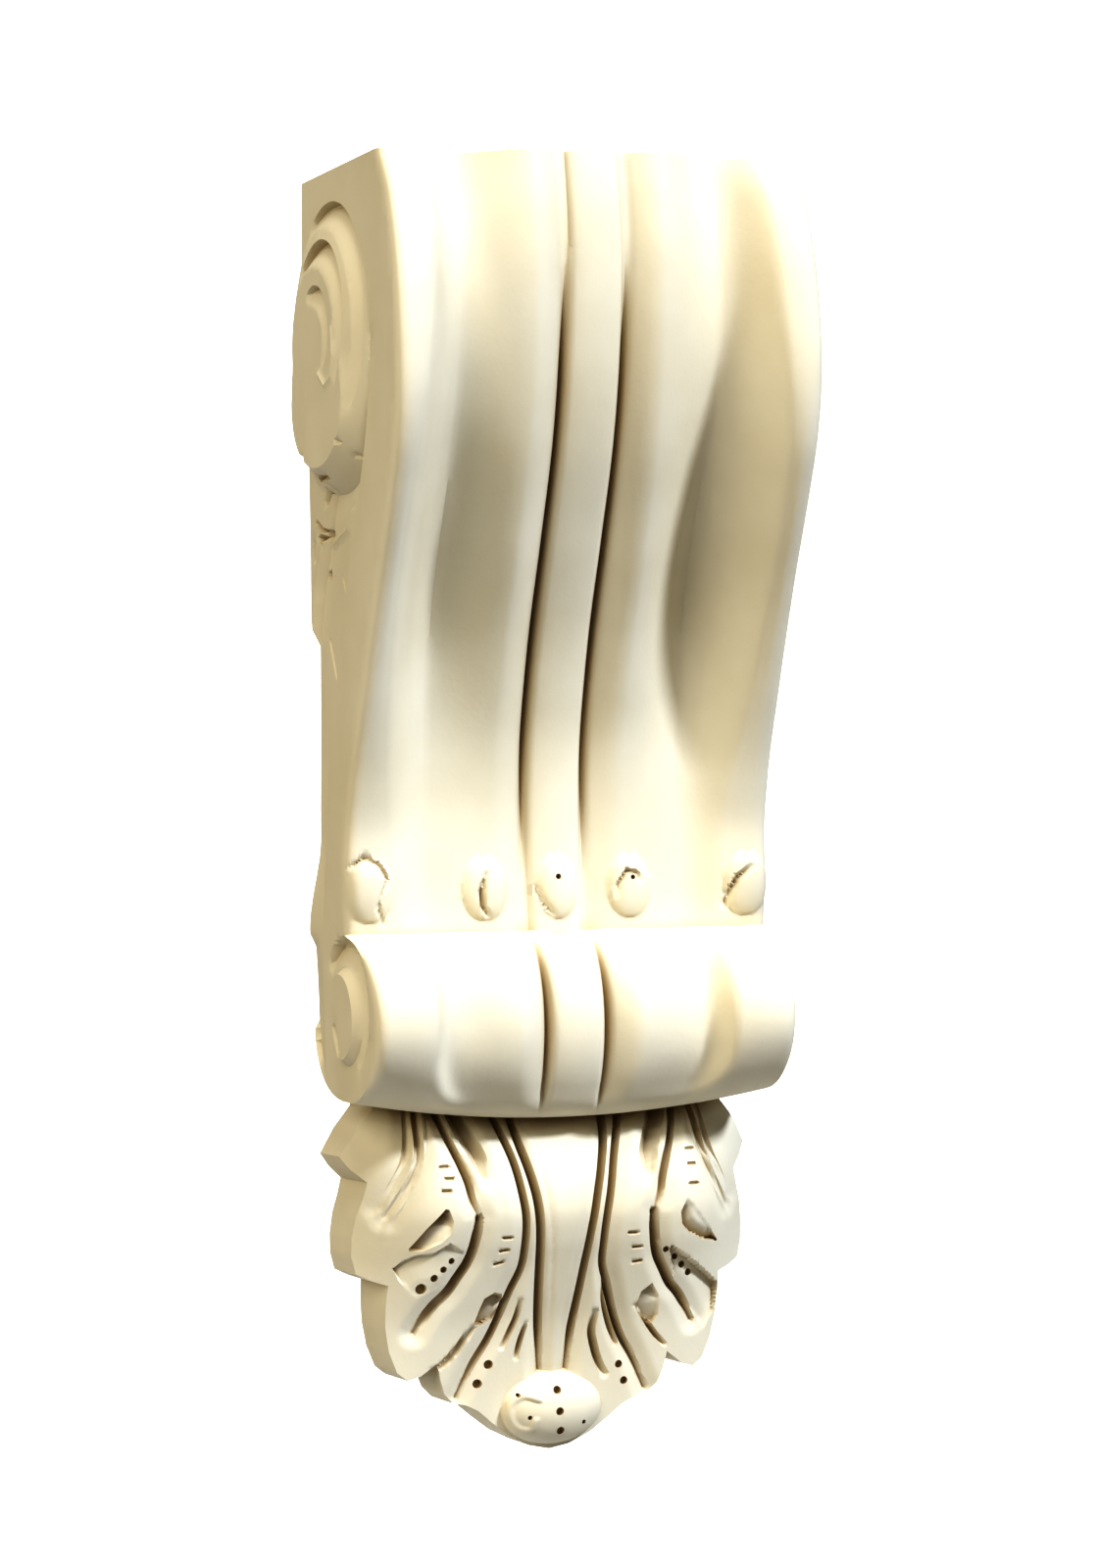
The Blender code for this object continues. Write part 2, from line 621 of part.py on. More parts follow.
def main():
    for thing in list(bpy.data.objects):
        bpy.data.objects.remove(thing, do_unlink=True)
    corbel = bpy.data.collections.new("scroll_corbel")
    cutters = bpy.data.collections.new("cutters")
    bpy.context.scene.collection.children.link(corbel)
    bpy.context.scene.collection.children.link(cutters)
    body = make_object("corbel", *body_mesh(front_rows()), corbel)
    body.data.materials.append(plaster())
    combine(body, "UNION", make_object("leaf", *leaf_mesh(), cutters))
    combine(body, "UNION", leaf_tip(cutters))
    combine(body, "DIFFERENCE", wall_cut(cutters))
    for thing in cutters.objects:
        thing.hide_render = True
        thing.display_type = "WIRE"


main()
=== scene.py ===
"""Looks of the scroll corbel: the finely carved plaster surface, its material, the light and the camera.

The carving is drawn in millimetres as place across, distance out from the wall and height, and is scaled to
the box of the CAD corbel, which it replaces.
"""
import math

import bmesh
import bpy
import numpy as np
from mathutils import Matrix, Vector
from mathutils.geometry import delaunay_2d_cdt


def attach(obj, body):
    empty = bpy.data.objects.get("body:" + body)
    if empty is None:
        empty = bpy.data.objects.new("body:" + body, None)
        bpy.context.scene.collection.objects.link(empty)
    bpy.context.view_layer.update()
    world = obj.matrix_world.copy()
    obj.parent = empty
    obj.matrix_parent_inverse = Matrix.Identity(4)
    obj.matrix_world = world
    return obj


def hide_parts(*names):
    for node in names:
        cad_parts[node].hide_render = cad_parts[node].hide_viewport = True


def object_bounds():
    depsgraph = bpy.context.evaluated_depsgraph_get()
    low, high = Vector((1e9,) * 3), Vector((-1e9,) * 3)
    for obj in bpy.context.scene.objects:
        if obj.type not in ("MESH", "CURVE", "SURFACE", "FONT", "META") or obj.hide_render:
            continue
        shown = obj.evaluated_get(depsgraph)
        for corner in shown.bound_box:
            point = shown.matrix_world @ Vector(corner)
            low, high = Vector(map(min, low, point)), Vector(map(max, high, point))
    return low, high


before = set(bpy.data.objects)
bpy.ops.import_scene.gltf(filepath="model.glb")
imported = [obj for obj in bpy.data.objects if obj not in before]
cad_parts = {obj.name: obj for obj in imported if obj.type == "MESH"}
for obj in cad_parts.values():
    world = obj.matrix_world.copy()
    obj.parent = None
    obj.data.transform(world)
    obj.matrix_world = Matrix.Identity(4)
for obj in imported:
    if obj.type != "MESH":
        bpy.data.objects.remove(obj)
CAD_LOW, CAD_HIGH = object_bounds()

# Size of the carving as it is drawn, over everything
DRAWN_WIDTH = 221.3
DRAWN_REACH = 157.5
DRAWN_HEIGHT = 602.0

# Shaft and roll, in millimetres: heights from the middle, distances out from the wall
TOP = 300.0
CREASE = -57.0
HALF_FRONT = 102.0
ROLL_OUT = 55.0
ROLL_HEIGHT = -97.0
ROLL_REACH = 52.0
ROLL_RISE = 40.0
ROLL_DROP = 37.0
ROLL_SAG = 10.0
ROLL_START = math.radians(80)

# Ridges and hollows across the front, in millimetres from the middle
REED_EDGE = 12.9
GROOVE = 14.6
LIP = 16.6
INNER_CREST = 31.0
VALLEY = 62.0
CORNER_ROUND = 6.0
FACE_DIP = 2.0
REED_RISE = 5.0
REED_TUCK = 0.6
# Walls of the flutes: shares of a straight and of a smooth fall, then the powers that bend the outer wall
# and the grooves
WALL_STRAIGHT = 0.3
WALL_SMOOTH = 0.7
OUTER_WALL_STEEPNESS = 1.5
GROOVE_SHARPNESS = 0.6

# The same ridges on the roll, as distances behind its face
ROLL_VALLEY = 17.0
ROLL_CREST = 11.0
ROLL_LIP = 20.0
ROLL_GROOVE = 5.0
# Places across the roll: its outer ridge, and where the flutes end on its underside
ROLL_STEP = 74.0
FLUTE_END = 49.0
FLUTE_END_LIMIT = 96.0
# Turns around the roll, in radians above level, between which its section changes, and by what share
FLUTES_CLOSE = (-1.2, -0.35)
GROOVES_FADE = (-1.45, -0.9)
RELIEF_FADES = (-1.5, -0.75)
RELIEF_LEFT = 0.35
TOP_SLOPES = (0.9, 1.4)
TOP_LOSS = 0.25
# The way from the roll's lowest line back to the wall: how fast it rises and how fast it goes in
UNDERSIDE_RISE = 1.1
UNDERSIDE_RETREAT = 0.9

# How closely the surfaces are drawn, in millimetres, and how far body and leaf run on behind the wall
ROW_STEP = 2.6
PETAL_ROW_STEP = 1.0
ROLL_ROWS = 64
BACK_ROWS = 10
SIDE_STEP = 2.1
SIDE_SPARSE = 4
LEAF_STEP = 1.15
OUTLINE_STEP = 2.0
LINE_STEP = 1.0
FIELD_LINE_STEP = 1.5
EVEN_BEND = 0.04
BEHIND_WALL = 4.0
LEAF_BEHIND_WALL = 3.0
BACK_EDGE_RISE = 1.0
# Side lines: how far from the ground they may run, how near the wall, and the space kept by top and crease
LINE_SLACK = 0.5
LINE_WALL_LIMIT = -2.0
BORDER_SPACE = 1.0

# Staggered grid: its shift across in millimetres, then, as shares of the step, where it starts in height,
# the pitch of its rows and the space that it leaves by the outline and by lines
GRID_SHIFT = 0.13
GRID_START = 0.4
ROW_PITCH = 0.866
EDGE_SPACE = 0.45
LINE_SPACE = 0.5
LINE_EDGE_SPACE = 0.3

# Profiles down the shaft: height in millimetres, then distance out from the wall
EDGE_PROFILE = ((300, 127), (285, 139), (268, 147), (250, 152.5), (231, 156), (210, 157.5), (188, 156),
                (166, 150), (145, 140), (101, 116), (57, 94), (13, 73.5), (-9, 67), (-30, 66), (-57, 63))
LIP_PROFILE = ((300, 128), (280, 131), (257, 132.5), (235, 131), (213, 127.5), (191, 122.5), (169, 115.5),
               (125, 95.5), (81, 74.5), (58, 66), (35, 59), (13, 55.5), (-10, 54), (-57, 57))
VALLEY_PROFILE = ((300, 114), (285, 119), (268, 124), (250, 127), (231, 127.5), (210, 124.5), (188, 117),
                  (145, 94.5), (101, 72), (79, 65), (57, 60.5), (13, 56.5), (-57, 57))
CREST_RISE = ((300, 7), (260, 9), (200, 10), (150, 11), (100, 12), (50, 10), (10, 7), (-57, 4))
GROOVE_DEPTH = ((300, 0.3), (250, 0.8), (225, 3), (195, 6), (150, 8), (60, 7), (10, 3.5), (-25, 1),
                (-57, 0.5))

# Widths down the shaft: height, then distance from the middle to the outer ridge and to the flat side
OUTER_CREST = ((300, 84), (230, 86), (160, 91), (100, 92), (40, 89), (0, 84), (-57, 78))
HALF_WIDTH = ((300, 101), (240, 102), (120, 102), (40, 103), (-10, 104), (-50, 104), (-70, 103), (-140, 102))

# Buds above the roll: place across and half width of each, then their common height and size
PETALS = ((0.0, 9.5), (35.0, 10.5), (91.0, 11.0))
PETAL_HEIGHT = -36.0
PETAL_HALF = 15.0
PETAL_RISE = 4.5
PETAL_MARGIN = 2.0
PETAL_SQUARENESS = 2.2
PETAL_DOME = 0.6
# Slits of the buds: line as place across and height, depth, half width
BUD_SLITS = (
    (((-35, -29), (-37.5, -37), (-37, -44), (-34, -49)), 4.0, 1.5),
    (((28, -41), (29, -35), (33, -29), (38, -30), (39.5, -34)), 3.0, 1.3),
    (((81, -46), (83, -39), (86, -33), (92, -28)), 4.5, 1.8),
    (((-9.5, -36), (-7, -43), (-2.5, -49)), 2.5, 1.4),
    (((-100, -25), (-94, -21), (-87, -24), (-83, -31), (-86, -37)), 3.5, 1.5),
    (((-86, -37), (-88, -44), (-84, -52)), 2.0, 1.3),
)

# Side scrolls: centre as distance out and height, and radius
UPPER_CENTRE = (47.0, 219.0)
UPPER_RADIUS = 62.0
UPPER_BULGE = 7.5
LOWER_CENTRE = (57.0, -94.0)
LOWER_RADIUS = 38.0
BOSS_EDGE = (0.52, 0.60)
BOSS_RISE = 4.0
# Channels of the side scrolls: ring, width as shares of the radius, depth, then the turns at both ends
UPPER_CHANNELS = ((0.97, 0.11, 5.5, -0.5, 2.3), (0.68, 0.11, 6.0, -0.75, 2.2), (0.36, 0.09, 5.0, -0.5, 2.4))
LOWER_CHANNELS = ((0.80, 0.19, 7.0, -0.9, 2.6),)
CHANNEL_DRIFT = 0.05
# Powers of a channel's opening along it, and the share of its length that its lines leave at each end
CHANNEL_SKEW = 0.7
CHANNEL_FULLNESS = 0.8
CHANNEL_LINE_ENDS = 0.04
# How wide a channel's closed ends stay, as a share of its width, and the shares of it where its walls bend
CHANNEL_END_WIDTH = 0.45
CHANNEL_BEND = 0.55
CHANNEL_WALL = 0.7
BOSS_SLIT = ((46, -99), (50, -104), (53, -110))
BOSS_SLIT_DEPTH = 3.0
BOSS_SLIT_HALF = 2.0
# Corners of a whole ring line, and of the lower edge of the upper scroll: first, end and step in radians
RING_POINTS = 64
LOW_TURN_FIRST = 4
LOW_TURN_END = 66
LOW_TURN_STEP = 0.04
# Upper scroll: between which cosines it counts as low, shares of the radius where it starts to fall and
# where it ends, and what each gains below
DOME_LOW = (0.1, 0.9)
DOME_START = 0.62
DOME_START_GAIN = 0.31
DOME_END = 1.03
DOME_END_GAIN = 0.02

# Sunk ground of the side below the upper scroll, and the husk that stands on it by the wall
BAND_PROFILE = ((300, 118), (257, 116), (213, 113), (169, 101), (148, 90), (122, 76), (95, 63), (60, 49),
                (10, 35), (-60, 26))
GROUND_SINK = 6.5
GROUND_SLOPE = 5.0
GROUND_FADE_END = -10.0
GROUND_TOP_DROP = 14.0
# A distance along the level, as a share of it, is the true distance from the slanting edges
EDGE_SLANT = 0.85
HUSK_EDGE = ((80, 0), (107, 11), (165, 43))
HUSK_RISE = 4.5
HUSK_SLOPE = 3.0
# Cuts and thin raised lines of husk and scroll: line as distance out and height, depth, half width.
# A raised line has a negative depth.
SIDE_MARKS = (
    (((12, 167), (20, 166)), 4.5, 3.5),
    (((25.5, 158.5), (47.5, 157.5)), 4.0, 2.2),
    (((39, 154), (41, 152)), 3.0, 2.0),
    (((31, 151.5), (27.5, 146.5)), 3.5, 2.2),
    (((12, 137.5), (25.5, 131.5), (14.5, 129.5)), 4.0, 2.2),
    (((6.5, 127), (6.5, 122)), 4.0, 3.0),
    (((17, 113), (19, 113)), 4.0, 2.2),
    (((40, 109.5), (48, 100), (53.5, 92.5)), 2.0, 1.6),
    (((78, 171), (80, 171)), 2.0, 1.8),
    (((83, 164.5), (85, 164)), 2.0, 1.8),
    (((68, 136), (70, 124.5), (61, 113), (55, 92.5)), 1.6, 1.6),
    (((17, 82), (25, 68.5), (29.5, 61.5)), 1.8, 1.8),
    (((41, 82.5), (40, 68.5), (35, 58)), 1.8, 1.8),
    (((60, 141.5), (51.5, 132.5), (26.5, 126.5)), -1.6, 2.2),
    (((71, 141), (80.5, 149), (91, 158.5)), -1.4, 2.2),
    (((53, 205), (64, 198), (74, 201), (78, 211), (77, 224)), -1.0, 1.6),
)
NECK = (-62.0, -56.0)
NECK_DEPTH = 20.0
NECK_SINK = 2.5

# Leaf below the roll: outline of its right half and its carved lines, as places across and heights
LEAF_OUTLINE = ((84, -112), (86, -138), (94, -148), (101, -160), (97, -166), (91, -172), (93, -180),
                (95.5, -188), (97, -198), (97, -207), (95, -215), (89, -218), (82, -220.5), (82.5, -230),
                (82, -241), (80, -252), (76, -262), (71, -266), (65, -264), (57, -258), (55.5, -266),
                (53, -273), (48, -278), (42, -279), (36, -282), (29, -288), (20, -295), (10, -300))
LEAF_FOOT = (0.0, -302.0)
LEAF_MIDDLE = ((-112, 40), (-138, 46), (-148, 54), (-160, 61), (-175, 66), (-188, 66.5), (-200, 63),
               (-213, 57), (-225, 51.5), (-240, 45), (-255, 40.5), (-270, 37), (-290, 33), (-305, 30))
LEAF_EDGE_LEVEL = 24.0
LEAF_FALL_START = 58.0
LEAF_FALL_END = 105.0
LEAF_FALL_POWER = 1.7
LEAF_FALL_SHARE = 0.95
LEAF_FALL_LIMIT = 1.1
LEAF_LEAST = 10.0
LEAFLET_SWELL = 2.5
SWELL_WIDTH = 9.0
# Veins: share of the length over which they open, with the depth they start at, then where they close and
# the depth they lose there; powers of their narrowing and of their walls; where the ribs close
VEIN_OPEN = 0.25
VEIN_START_DEPTH = 0.5
VEIN_CLOSING = 0.75
VEIN_DEPTH_LOST = 0.7
VEIN_NARROWING = 0.4
VEIN_SHARPNESS = 0.75
RIB_CLOSING = 0.7

# Lines between the leaflets, the same on both halves: line, depth, half width
MIDRIB = ((24, -128), (21, -155), (18, -167), (15, -180), (13, -193), (11.5, -208), (10, -226), (8, -246),
          (6.5, -264))
INNER_VEIN = ((36, -128), (30, -147), (25, -163), (22, -178), (20, -190), (19.5, -203), (20, -213),
              (24, -224), (28, -236), (33, -248), (40, -260), (47, -275))
SPLIT_TOP = ((62, -128), (58, -143), (55, -153), (51, -164), (48, -173), (46, -182), (43, -189))
SPLIT = ((43, -189), (44, -198), (47, -210), (51, -217), (56, -225), (60, -229), (65, -236), (69, -243))
HOLLOW = ((52, -130), (49, -145), (45, -154), (42, -162), (41, -170))
RIB_GROOVE = ((66, -130), (68, -144), (71, -165), (77, -177), (84, -188))
RIB_GROOVE_OUTER = ((70, -130), (72, -144), (76, -164), (81, -174), (86, -184))
VEINS = ((MIDRIB, 7.5, 2.2), (INNER_VEIN, 7.0, 2.0), (SPLIT_TOP, 5.0, 2.0), (SPLIT, 9.0, 2.6),
         (HOLLOW, 6.5, 4.5), (RIB_GROOVE, 3.5, 2.2), (RIB_GROOVE_OUTER, 3.0, 2.2))
# Thin raised lines: line, rise, half width
RIBS = ((((71, -140), (74, -162), (79, -170), (84, -181), (89, -192)), 1.8, 2.0),
        (((65, -140), (69, -160), (74, -170), (79, -182), (84, -192), (86, -200)), 1.8, 2.0),
        (((55, -140), (53, -153), (47, -164), (44, -173), (42, -180)), 1.6, 2.2),
        (((17, -152), (14.5, -170), (11.5, -188), (8.5, -208), (6.5, -230), (4.5, -255)), 0.9, 2.6))

# Cuts of one half only, as distances from the middle: line, depth, half width
LEFT_CUTS = ((((19, -230), (20, -237), (23, -245), (26, -252)), 4.0, 1.6),
             (((15, -241), (17, -248), (19, -257)), 4.0, 1.5),
             (((41, -242), (45, -247), (50, -254), (55, -259), (60, -262)), 5.0, 1.8))
RIGHT_CUTS = ((((22, -223), (23, -231), (26, -241), (31, -253)), 5.0, 1.7),
              (((19, -237), (18, -246), (20, -254), (23, -262), (26, -267)), 5.5, 2.2),
              (((39, -235), (43, -240), (47, -245), (51, -250), (55, -254)), 5.0, 1.6))

# Sunk fields of one half only: outline, its deepest stretch, depth there and width of the slope
LEFT_FIELDS = (
    (((59, -183), (68, -193), (76, -204), (69, -204), (61, -200), (57, -196), (56, -190)),
     ((59, -183), (68, -193), (76, -204)), 9.0, 8.5),
    (((32, -225), (37, -228), (39, -234), (41, -241), (37, -241), (31, -238), (27, -230), (28, -226)),
     ((32, -225), (37, -228), (39, -234), (41, -241)), 9.0, 12.0),
    (((57, -200), (64, -204.5), (72, -205.5), (77, -208), (81, -212), (78, -218), (70, -226), (60, -222),
      (51, -213), (49, -205)), ((57, -200), (64, -204.5), (72, -205.5), (77, -208), (81, -212)), 3.0, 12.0))
RIGHT_FIELDS = (
    (((59, -183), (68, -193), (80, -206), (69, -204), (61, -200), (57, -196), (56, -190)),
     ((56, -190), (57, -196), (61, -200), (69, -204), (80, -206)), 6.0, 6.0),
    (((52, -205), (63, -212), (73, -219), (82, -226), (81, -240), (76, -248), (68, -238), (58, -225)),
     ((52, -205), (63, -212), (73, -219), (82, -226)), 5.5, 20.0),
    (((46, -224), (41, -228), (39, -235), (47, -245), (51, -240), (50, -230)),
     ((46, -224), (41, -228), (39, -235), (47, -245)), 5.0, 9.0))

# Short strokes across the leaflets: middle and slope of each
LEFT_TICKS = ((59, -165, 0.0), (57, -170.5, 0.05), (59, -176, 0.0),
              (29, -199, 0.0), (30, -205, -0.15), (32, -211, -0.25))
RIGHT_TICKS = ((63, -161, 0.0), (63, -168, 0.0), (63, -177, 0.0),
               (33, -199, 0.0), (36, -206, 0.05), (37, -213, 0.1))
TICK_HALF_LENGTH = 3.0
TICK_HALF_WIDTH = 1.3
TICK_DEPTH = 2.2
# Cuts and bud slits: power of their walls, and how early along a half wave their depth starts and ends
CUT_SHARPNESS = 0.7
CUT_ENDS = 0.12
SLIT_ENDS = 0.1
# Sunk fields: how wide the rim is, and how much depth is lost across the slope, with its power
FIELD_RIM = 0.8
FIELD_LOSS = 0.9
FIELD_POWER = 0.8
# Short strokes and side marks: power of their walls
STROKE_POWER = 0.8

# Drilled holes of the leaf, as place across, height and radius
LEAF_HOLES = ((-55, -209, 1.7), (-58.5, -213, 1.8), (-62.5, -217, 2.0), (-68, -222, 2.9),
              (51, -208, 1.7), (57, -212, 1.7), (61, -216, 2.0), (65, -220, 2.0),
              (-32, -260, 2.5), (-37, -269, 2.5), (33, -263, 2.2), (36, -271, 2.2))
# The same of the curled tip and of two of the buds
TIP_HOLES = ((0, -273, 2.2), (0.7, -283, 2.2), (2, -292.5, 2.2), (-18.2, -275, 1.1), (14, -289, 1.2),
             (-13.2, -285.6, 1.2))
BUD_HOLES = ((-0.5, -31, 1.5), (36.5, -32, 1.3))
# How deep the holes go, how wide they end, and how far out the rods that cut them start
HOLE_DEPTH = 3.6
HOLE_TAPER = 0.8
DRILL_CLEAR = 6.0
DRILL_SIDES = 20

# Curled tip: a flattened ball with a small spiral on its left
TIP_CENTRE = (0.0, 29.0, -281.0)
TIP_SIZE = (27.0, 18.5, 19.0)
TIP_SPIRAL = ((-9, -277), (-16, -275.5), (-21, -279), (-21.5, -285.5), (-17.5, -291), (-12, -291.5),
              (-10.5, -287))
SPIRAL_RISE = 1.5
SPIRAL_HALF = 1.9
SPIRAL_TAPER = 0.5
TIP_AROUND = 144
TIP_DOWN = 72

# Corners closer than this are one, in metres, and edges sharper than this stay sharp
MERGE_GAP = 2e-6
SHARP_ANGLE = math.radians(38)

# Plaster: its darker and lighter tone, which vary at random, and the painted shade that darkens its hollows,
# with how far that painted shade reaches in metres
PLASTER_DARK = (0.80, 0.74, 0.58, 1.0)
PLASTER_LIGHT = (0.86, 0.81, 0.66, 1.0)
PAINTED_SHADE_TONE = (0.42, 0.30, 0.13, 1.0)
PAINTED_SHADE_REACH = 0.010
CLOUD_SCALE = 14.0
GRAIN_SCALE = 420.0
GRAIN_HEIGHT = 0.0006

# Surroundings, in metres
FLOOR_LEVEL = -1.6
FLOOR_HALF = 0.9
BACKDROP_DISTANCE = 3.3
BACKDROP_HEIGHT = 0.2
BACKDROP_HALF = 1.6
BACKDROP_GLOW = 1.0

# Lights from far away: name, degrees right of the front and above level, strength, size in degrees, colour
SUNS = (
    ("key", 34, 38, 4.15, 8, (0.79, 0.86, 1.0)),
    ("above", -10, 60, 1.15, 20, (1.0, 0.95, 0.86)),
    ("left", -45, 32, 1.2, 25, (1.0, 0.93, 0.78)),
    ("low_left", -82, 14, 1.0, 25, (1.0, 0.88, 0.62)),
)
ROOM_COLOUR = (1.0, 0.92, 0.76, 1.0)
ROOM_STRENGTH = 0.13

# Camera: the point that it looks at, its distance in metres, its angles, its roll and its lens
AIM = (0.0168, 0.0, 0.0132)
CAMERA_DISTANCE = 2.425
CAMERA_TURN = math.radians(18.5)
CAMERA_LIFT = math.radians(-0.74)
CAMERA_ROLL = math.radians(-1.11)
CAMERA_LENS = 115.6
# The photograph's strong contrast
DISPLAY_GAMMA = 0.72


def curve(nodes, at):
    """Smooth curve through the nodes, held level past both ends."""
    nodes = sorted(nodes)
    xs = np.array([n[0] for n in nodes], float)
    ys = np.array([n[1] for n in nodes], float)
    slopes = np.gradient(ys, xs)
    at = np.clip(np.asarray(at, float), xs[0], xs[-1])
    i = np.clip(np.searchsorted(xs, at) - 1, 0, len(xs) - 2)
    span = xs[i + 1] - xs[i]
    t = (at - xs[i]) / span
    start = (1 + 2 * t) * (1 - t) ** 2 * ys[i]
    end = t * t * (3 - 2 * t) * ys[i + 1]
    bend = span * (t * (1 - t) ** 2 * slopes[i] + t * t * (t - 1) * slopes[i + 1])
    return start + end + bend


def ease(low, high, value):
    """Rises smoothly from 0 at low to 1 at high."""
    t = np.clip((np.asarray(value, float) - low) / (high - low), 0.0, 1.0)
    return t * t * (3 - 2 * t)


def ramp(low, high, value):
    """Rises in a straight line from 0 at low to 1 at high."""
    return np.clip((np.asarray(value, float) - low) / (high - low), 0.0, 1.0)


def path_distance(path, x, z):
    """Distance from the points to a line of straight pieces, and how far along it the nearest place is."""
    x = np.asarray(x, float)
    z = np.asarray(z, float)
    best = np.full(np.broadcast(x, z).shape, 1e9)
    along = np.zeros(best.shape)
    pieces = len(path) - 1
    for k, ((ax, az), (bx, bz)) in enumerate(zip(path, path[1:])):
        ex, ez = bx - ax, bz - az
        t = np.clip(((x - ax) * ex + (z - az) * ez) / (ex * ex + ez * ez), 0, 1)
        gap = np.hypot(x - ax - t * ex, z - az - t * ez)
        nearer = gap < best
        best = np.where(nearer, gap, best)
        along = np.where(nearer, (k + t) / pieces, along)
    return best, along


def smooth_path(path, step=2.0):
    """The line drawn through its corners as a smooth curve, with points about one step apart."""
    path = np.array(path, float)
    gaps = np.hypot(*np.diff(path, axis=0).T)
    along = np.concatenate([[0.0], np.cumsum(gaps)])
    at = np.linspace(0.0, along[-1], max(3, round(along[-1] / step) + 1))
    return list(zip(*(curve(list(zip(along, path[:, k])), at).tolist() for k in (0, 1))))


def inside(outline, x, z):
    """Whether each point lies within a closed outline."""
    x = np.asarray(x, float)
    z = np.asarray(z, float)
    hit = np.zeros(np.broadcast(x, z).shape, bool)
    for (ax, az), (bx, bz) in zip(outline, outline[1:] + outline[:1]):
        if az != bz:
            crosses = (az > z) != (bz > z)
            hit ^= crosses & (x < (bx - ax) * (z - az) / (bz - az) + ax)
    return hit


def section(x, edge, valley, crest, lip, groove, outer):
    """Distance out at x across the front, from the levels of its ridges and hollows."""
    ax = np.abs(x)
    reed = lip + REED_RISE * np.sqrt(np.clip(1 - (ax / (REED_EDGE + REED_TUCK)) ** 2, 0, 1))
    from_groove = np.abs(ax - GROOVE) / (GROOVE - REED_EDGE)
    gap = lip - groove * np.clip(1 - from_groove, 0, 1) ** GROOVE_SHARPNESS
    rise = lip + (crest - lip) * np.sin(0.5 * math.pi * ramp(LIP, INNER_CREST, ax))
    down = WALL_SMOOTH * ease(INNER_CREST, VALLEY, ax) + WALL_STRAIGHT * ramp(INNER_CREST, VALLEY, ax)
    fall = crest + (valley - crest) * down
    steep = ease(VALLEY, outer, ax) ** OUTER_WALL_STEEPNESS
    up = WALL_STRAIGHT * ramp(VALLEY, outer, ax) + WALL_SMOOTH * steep
    climb = valley + (edge - FACE_DIP - valley) * up
    face = edge - FACE_DIP * (1 - ramp(outer, HALF_FRONT - CORNER_ROUND, ax)) ** 2
    c = ramp(HALF_FRONT - CORNER_ROUND, HALF_FRONT, ax)
    corner = edge - CORNER_ROUND * (1 - np.sqrt(np.clip(1 - c * c, 0, 1)))
    out = np.where(ax < REED_EDGE, reed, gap)
    out = np.where(ax > LIP, rise, out)
    out = np.where(ax > INNER_CREST, fall, out)
    out = np.where(ax > VALLEY, climb, out)
    out = np.where(ax > outer, face, out)
    return np.where(ax > HALF_FRONT - CORNER_ROUND, corner, out)


def shaft(x, z):
    """Distance out of the fluted shaft at x and height z."""
    lip = curve(LIP_PROFILE, z)
    out = section(x, curve(EDGE_PROFILE, z), curve(VALLEY_PROFILE, z), lip + curve(CREST_RISE, z), lip,
                  curve(GROOVE_DEPTH, z), curve(OUTER_CREST, z))
    return out + petals(x, z)


def cut_wall(gap, half):
    """Share of a cut's depth at a distance from its middle line."""
    return np.clip(1 - gap / half, 0, 1) ** CUT_SHARPNESS


def cut_ends(along, ends):
    """Share of a cut's depth along its length: least at both ends, full in the middle."""
    return np.sin(math.pi * (ends + (1 - 2 * ends) * along))


def petals(x, z):
    """The row of small buds just above the roll, with their slits."""
    rise = np.zeros(np.broadcast(x, z).shape)
    if z > PETAL_HEIGHT + PETAL_HALF + PETAL_MARGIN:
        return rise
    for centre, half in PETALS:
        u = (np.abs(x) - centre) / half
        v = np.abs((z - PETAL_HEIGHT) / PETAL_HALF)
        dome = np.clip(1 - u * u - v ** PETAL_SQUARENESS, 0, 1) ** PETAL_DOME
        rise = np.maximum(rise, PETAL_RISE * dome)
    for path, depth, half in BUD_SLITS:
        gap, along = path_distance(path, x, z)
        rise = rise - depth * cut_wall(gap, half) * cut_ends(along, SLIT_ENDS)
    return rise


def roll_row(xs, angle):
    """A row of the roll, at an angle above level, as distances out and heights."""
    under = float(ease(-FLUTES_CLOSE[1], -FLUTES_CLOSE[0], -angle))
    shift = np.interp(np.abs(xs), (REED_EDGE, FLUTE_END, FLUTE_END_LIMIT), (0.0, VALLEY - FLUTE_END, 0.0))
    groove = ROLL_GROOVE * float(ease(*GROOVES_FADE, angle))
    out = section(np.abs(xs) + under * shift, 0.0, -ROLL_VALLEY, -ROLL_CREST, -ROLL_LIP, groove, ROLL_STEP)
    kept = RELIEF_LEFT + (1 - RELIEF_LEFT) * float(ease(*RELIEF_FADES, angle))
    reach = ROLL_REACH + out * kept * float(1 - TOP_LOSS * ease(*TOP_SLOPES, angle))
    rise = ROLL_RISE if angle > 0 else roll_drop(xs)
    return ROLL_OUT + reach * math.cos(angle), ROLL_HEIGHT + rise * math.sin(angle)


def roll_drop(x):
    """How far the roll hangs below its centre: a little more in the middle than at the sides."""
    return ROLL_DROP + ROLL_SAG * (1 - (x / HALF_FRONT) ** 2)


def across():
    """Places across the front at which the surface is drawn."""
    stops = [0.0]
    middle = (REED_EDGE + GROOVE) / 2
    stretches = ((REED_EDGE, 8), (middle, 1), (GROOVE, 1), ((GROOVE + LIP) / 2, 1), (LIP, 1), (24, 4),
                 (46, 18), (VALLEY, 6), (80, 8), (HALF_FRONT - CORNER_ROUND, 13), (HALF_FRONT, 6))
    for end, pieces in stretches:
        start = stops[-1]
        stops.extend(start + (end - start) * k / pieces for k in range(1, pieces + 1))
    return np.array([-s for s in reversed(stops[1:])] + stops)


def steps(start, end, step):
    """Values from start towards end, about one step apart, without the end itself."""
    count = max(1, round(abs(end - start) / step))
    return [start + (end - start) * i / count for i in range(count)]


